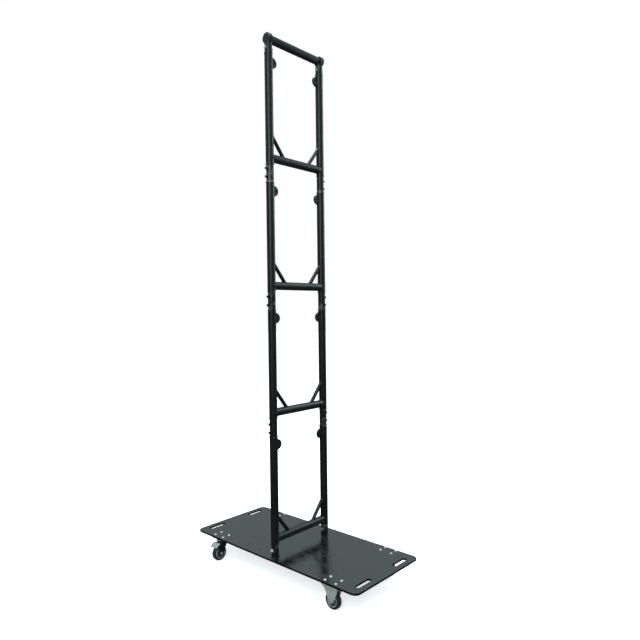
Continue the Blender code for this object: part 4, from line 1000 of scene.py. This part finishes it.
# Studio: a pale floor, soft light from all round, and the photograph's camera. The camera sees a white background,
# and the paint and metal reflect a hall that is dim near the floor and bright overhead.


def seen_directly(tree):
    """1 for what the camera sees, by itself or through glass, and 0 on all other paths of light."""
    rays = node(tree, "LightPath")
    return maths(tree, "MAXIMUM", rays.outputs["Is Camera Ray"], rays.outputs["Is Transmission Ray"])


floor_look = bpy.data.materials.new("pale_floor")
floor_look.use_nodes = True
tree = floor_look.node_tree
shader = tree.nodes["Principled BSDF"]
shader.inputs["Base Color"].default_value = (0.82, 0.82, 0.82, 1)
shader.inputs["Roughness"].default_value = 0.95
shader.inputs["Specular IOR Level"].default_value = 0.0
shader.inputs["Emission Color"].default_value = (1, 1, 1, 1)
tree.links.new(product(tree, seen_directly(tree), 0.72), shader.inputs["Emission Strength"])
floor_mesh = bpy.data.meshes.new("floor")
floor_reach = 30
floor_corners = [(x * floor_reach, y * floor_reach, 0) for x, y in ((-1, -1), (1, -1), (1, 1), (-1, 1))]
floor_mesh.from_pydata(floor_corners, [], [(0, 1, 2, 3)])
floor_mesh.materials.append(floor_look)
floor = in_scene("floor", floor_mesh)
floor.visible_glossy = False

world = bpy.data.worlds.new("studio")
bpy.context.scene.world = world
world.use_nodes = True
tree = world.node_tree
seen = seen_directly(tree)
height = node(tree, "SeparateXYZ", {0: node(tree, "TexCoord").outputs["Generated"]}).outputs["Z"]
hall = between(tree, height, -0.05, 0.7, 0.1, 0.9)
strength = node(tree, "Mix", {0: seen, 2: hall, 3: 1.0}).outputs[0]
tree.links.new(strength, tree.nodes["Background"].inputs["Strength"])
hall_tint, white = (0.84, 0.99, 1, 1), (1, 1, 1, 1)
tree.links.new(blended(tree, seen, hall_tint, white), tree.nodes["Background"].inputs["Color"])


def soft_box(name, place, target, width, height, power, colour=(1, 1, 1)):
    """A large area lamp that faces a point."""
    lamp = bpy.data.lights.new(name, "AREA")
    lamp.shape, lamp.size, lamp.size_y = "RECTANGLE", width, height
    lamp.energy, lamp.color = power, colour
    away = (Vector(place) - Vector(target)).normalized()
    facing = away.to_track_quat("Z", "Y").to_matrix().to_4x4()
    in_scene(name, lamp).matrix_world = Matrix.Translation(place) @ facing


upper_ladder, cool_white = (0, 0, 2.3), (0.66, 0.94, 1)
soft_box("key_lamp", (-3.2, -1.9, 3.5), upper_ladder, 0.8, 3.0, 115, cool_white)
soft_box("fill_lamp", (4.1, -1.6, 3.6), upper_ladder, 1.2, 3.0, 120, cool_white)
soft_box("top_lamp", (-0.5, 0.3, 6.5), (0, 0, 0), 3.0, 3.0, 240)

camera_place = (-2.6463, -2.5986, 1.6722)
yaw, pitch, roll = radians(47.716), radians(-0.999), radians(0.698)
ahead = np.array([sin(yaw) * cos(pitch), cos(yaw) * cos(pitch), sin(pitch)])
level_right = np.array([cos(yaw), -sin(yaw), 0])
level_down = np.cross(ahead, level_right)
right = cos(roll) * level_right + sin(roll) * level_down
down = cos(roll) * level_down - sin(roll) * level_right
camera_data = bpy.data.cameras.new("camera")
camera_data.sensor_width = 36
camera_data.lens = 32.161
camera = in_scene("camera", camera_data)
turn = Matrix(np.column_stack([right, -down, -ahead]).tolist()).to_4x4()
camera.matrix_world = Matrix.Translation(camera_place) @ turn
bpy.context.scene.camera = camera
bpy.context.scene.view_settings.view_transform = "Standard"
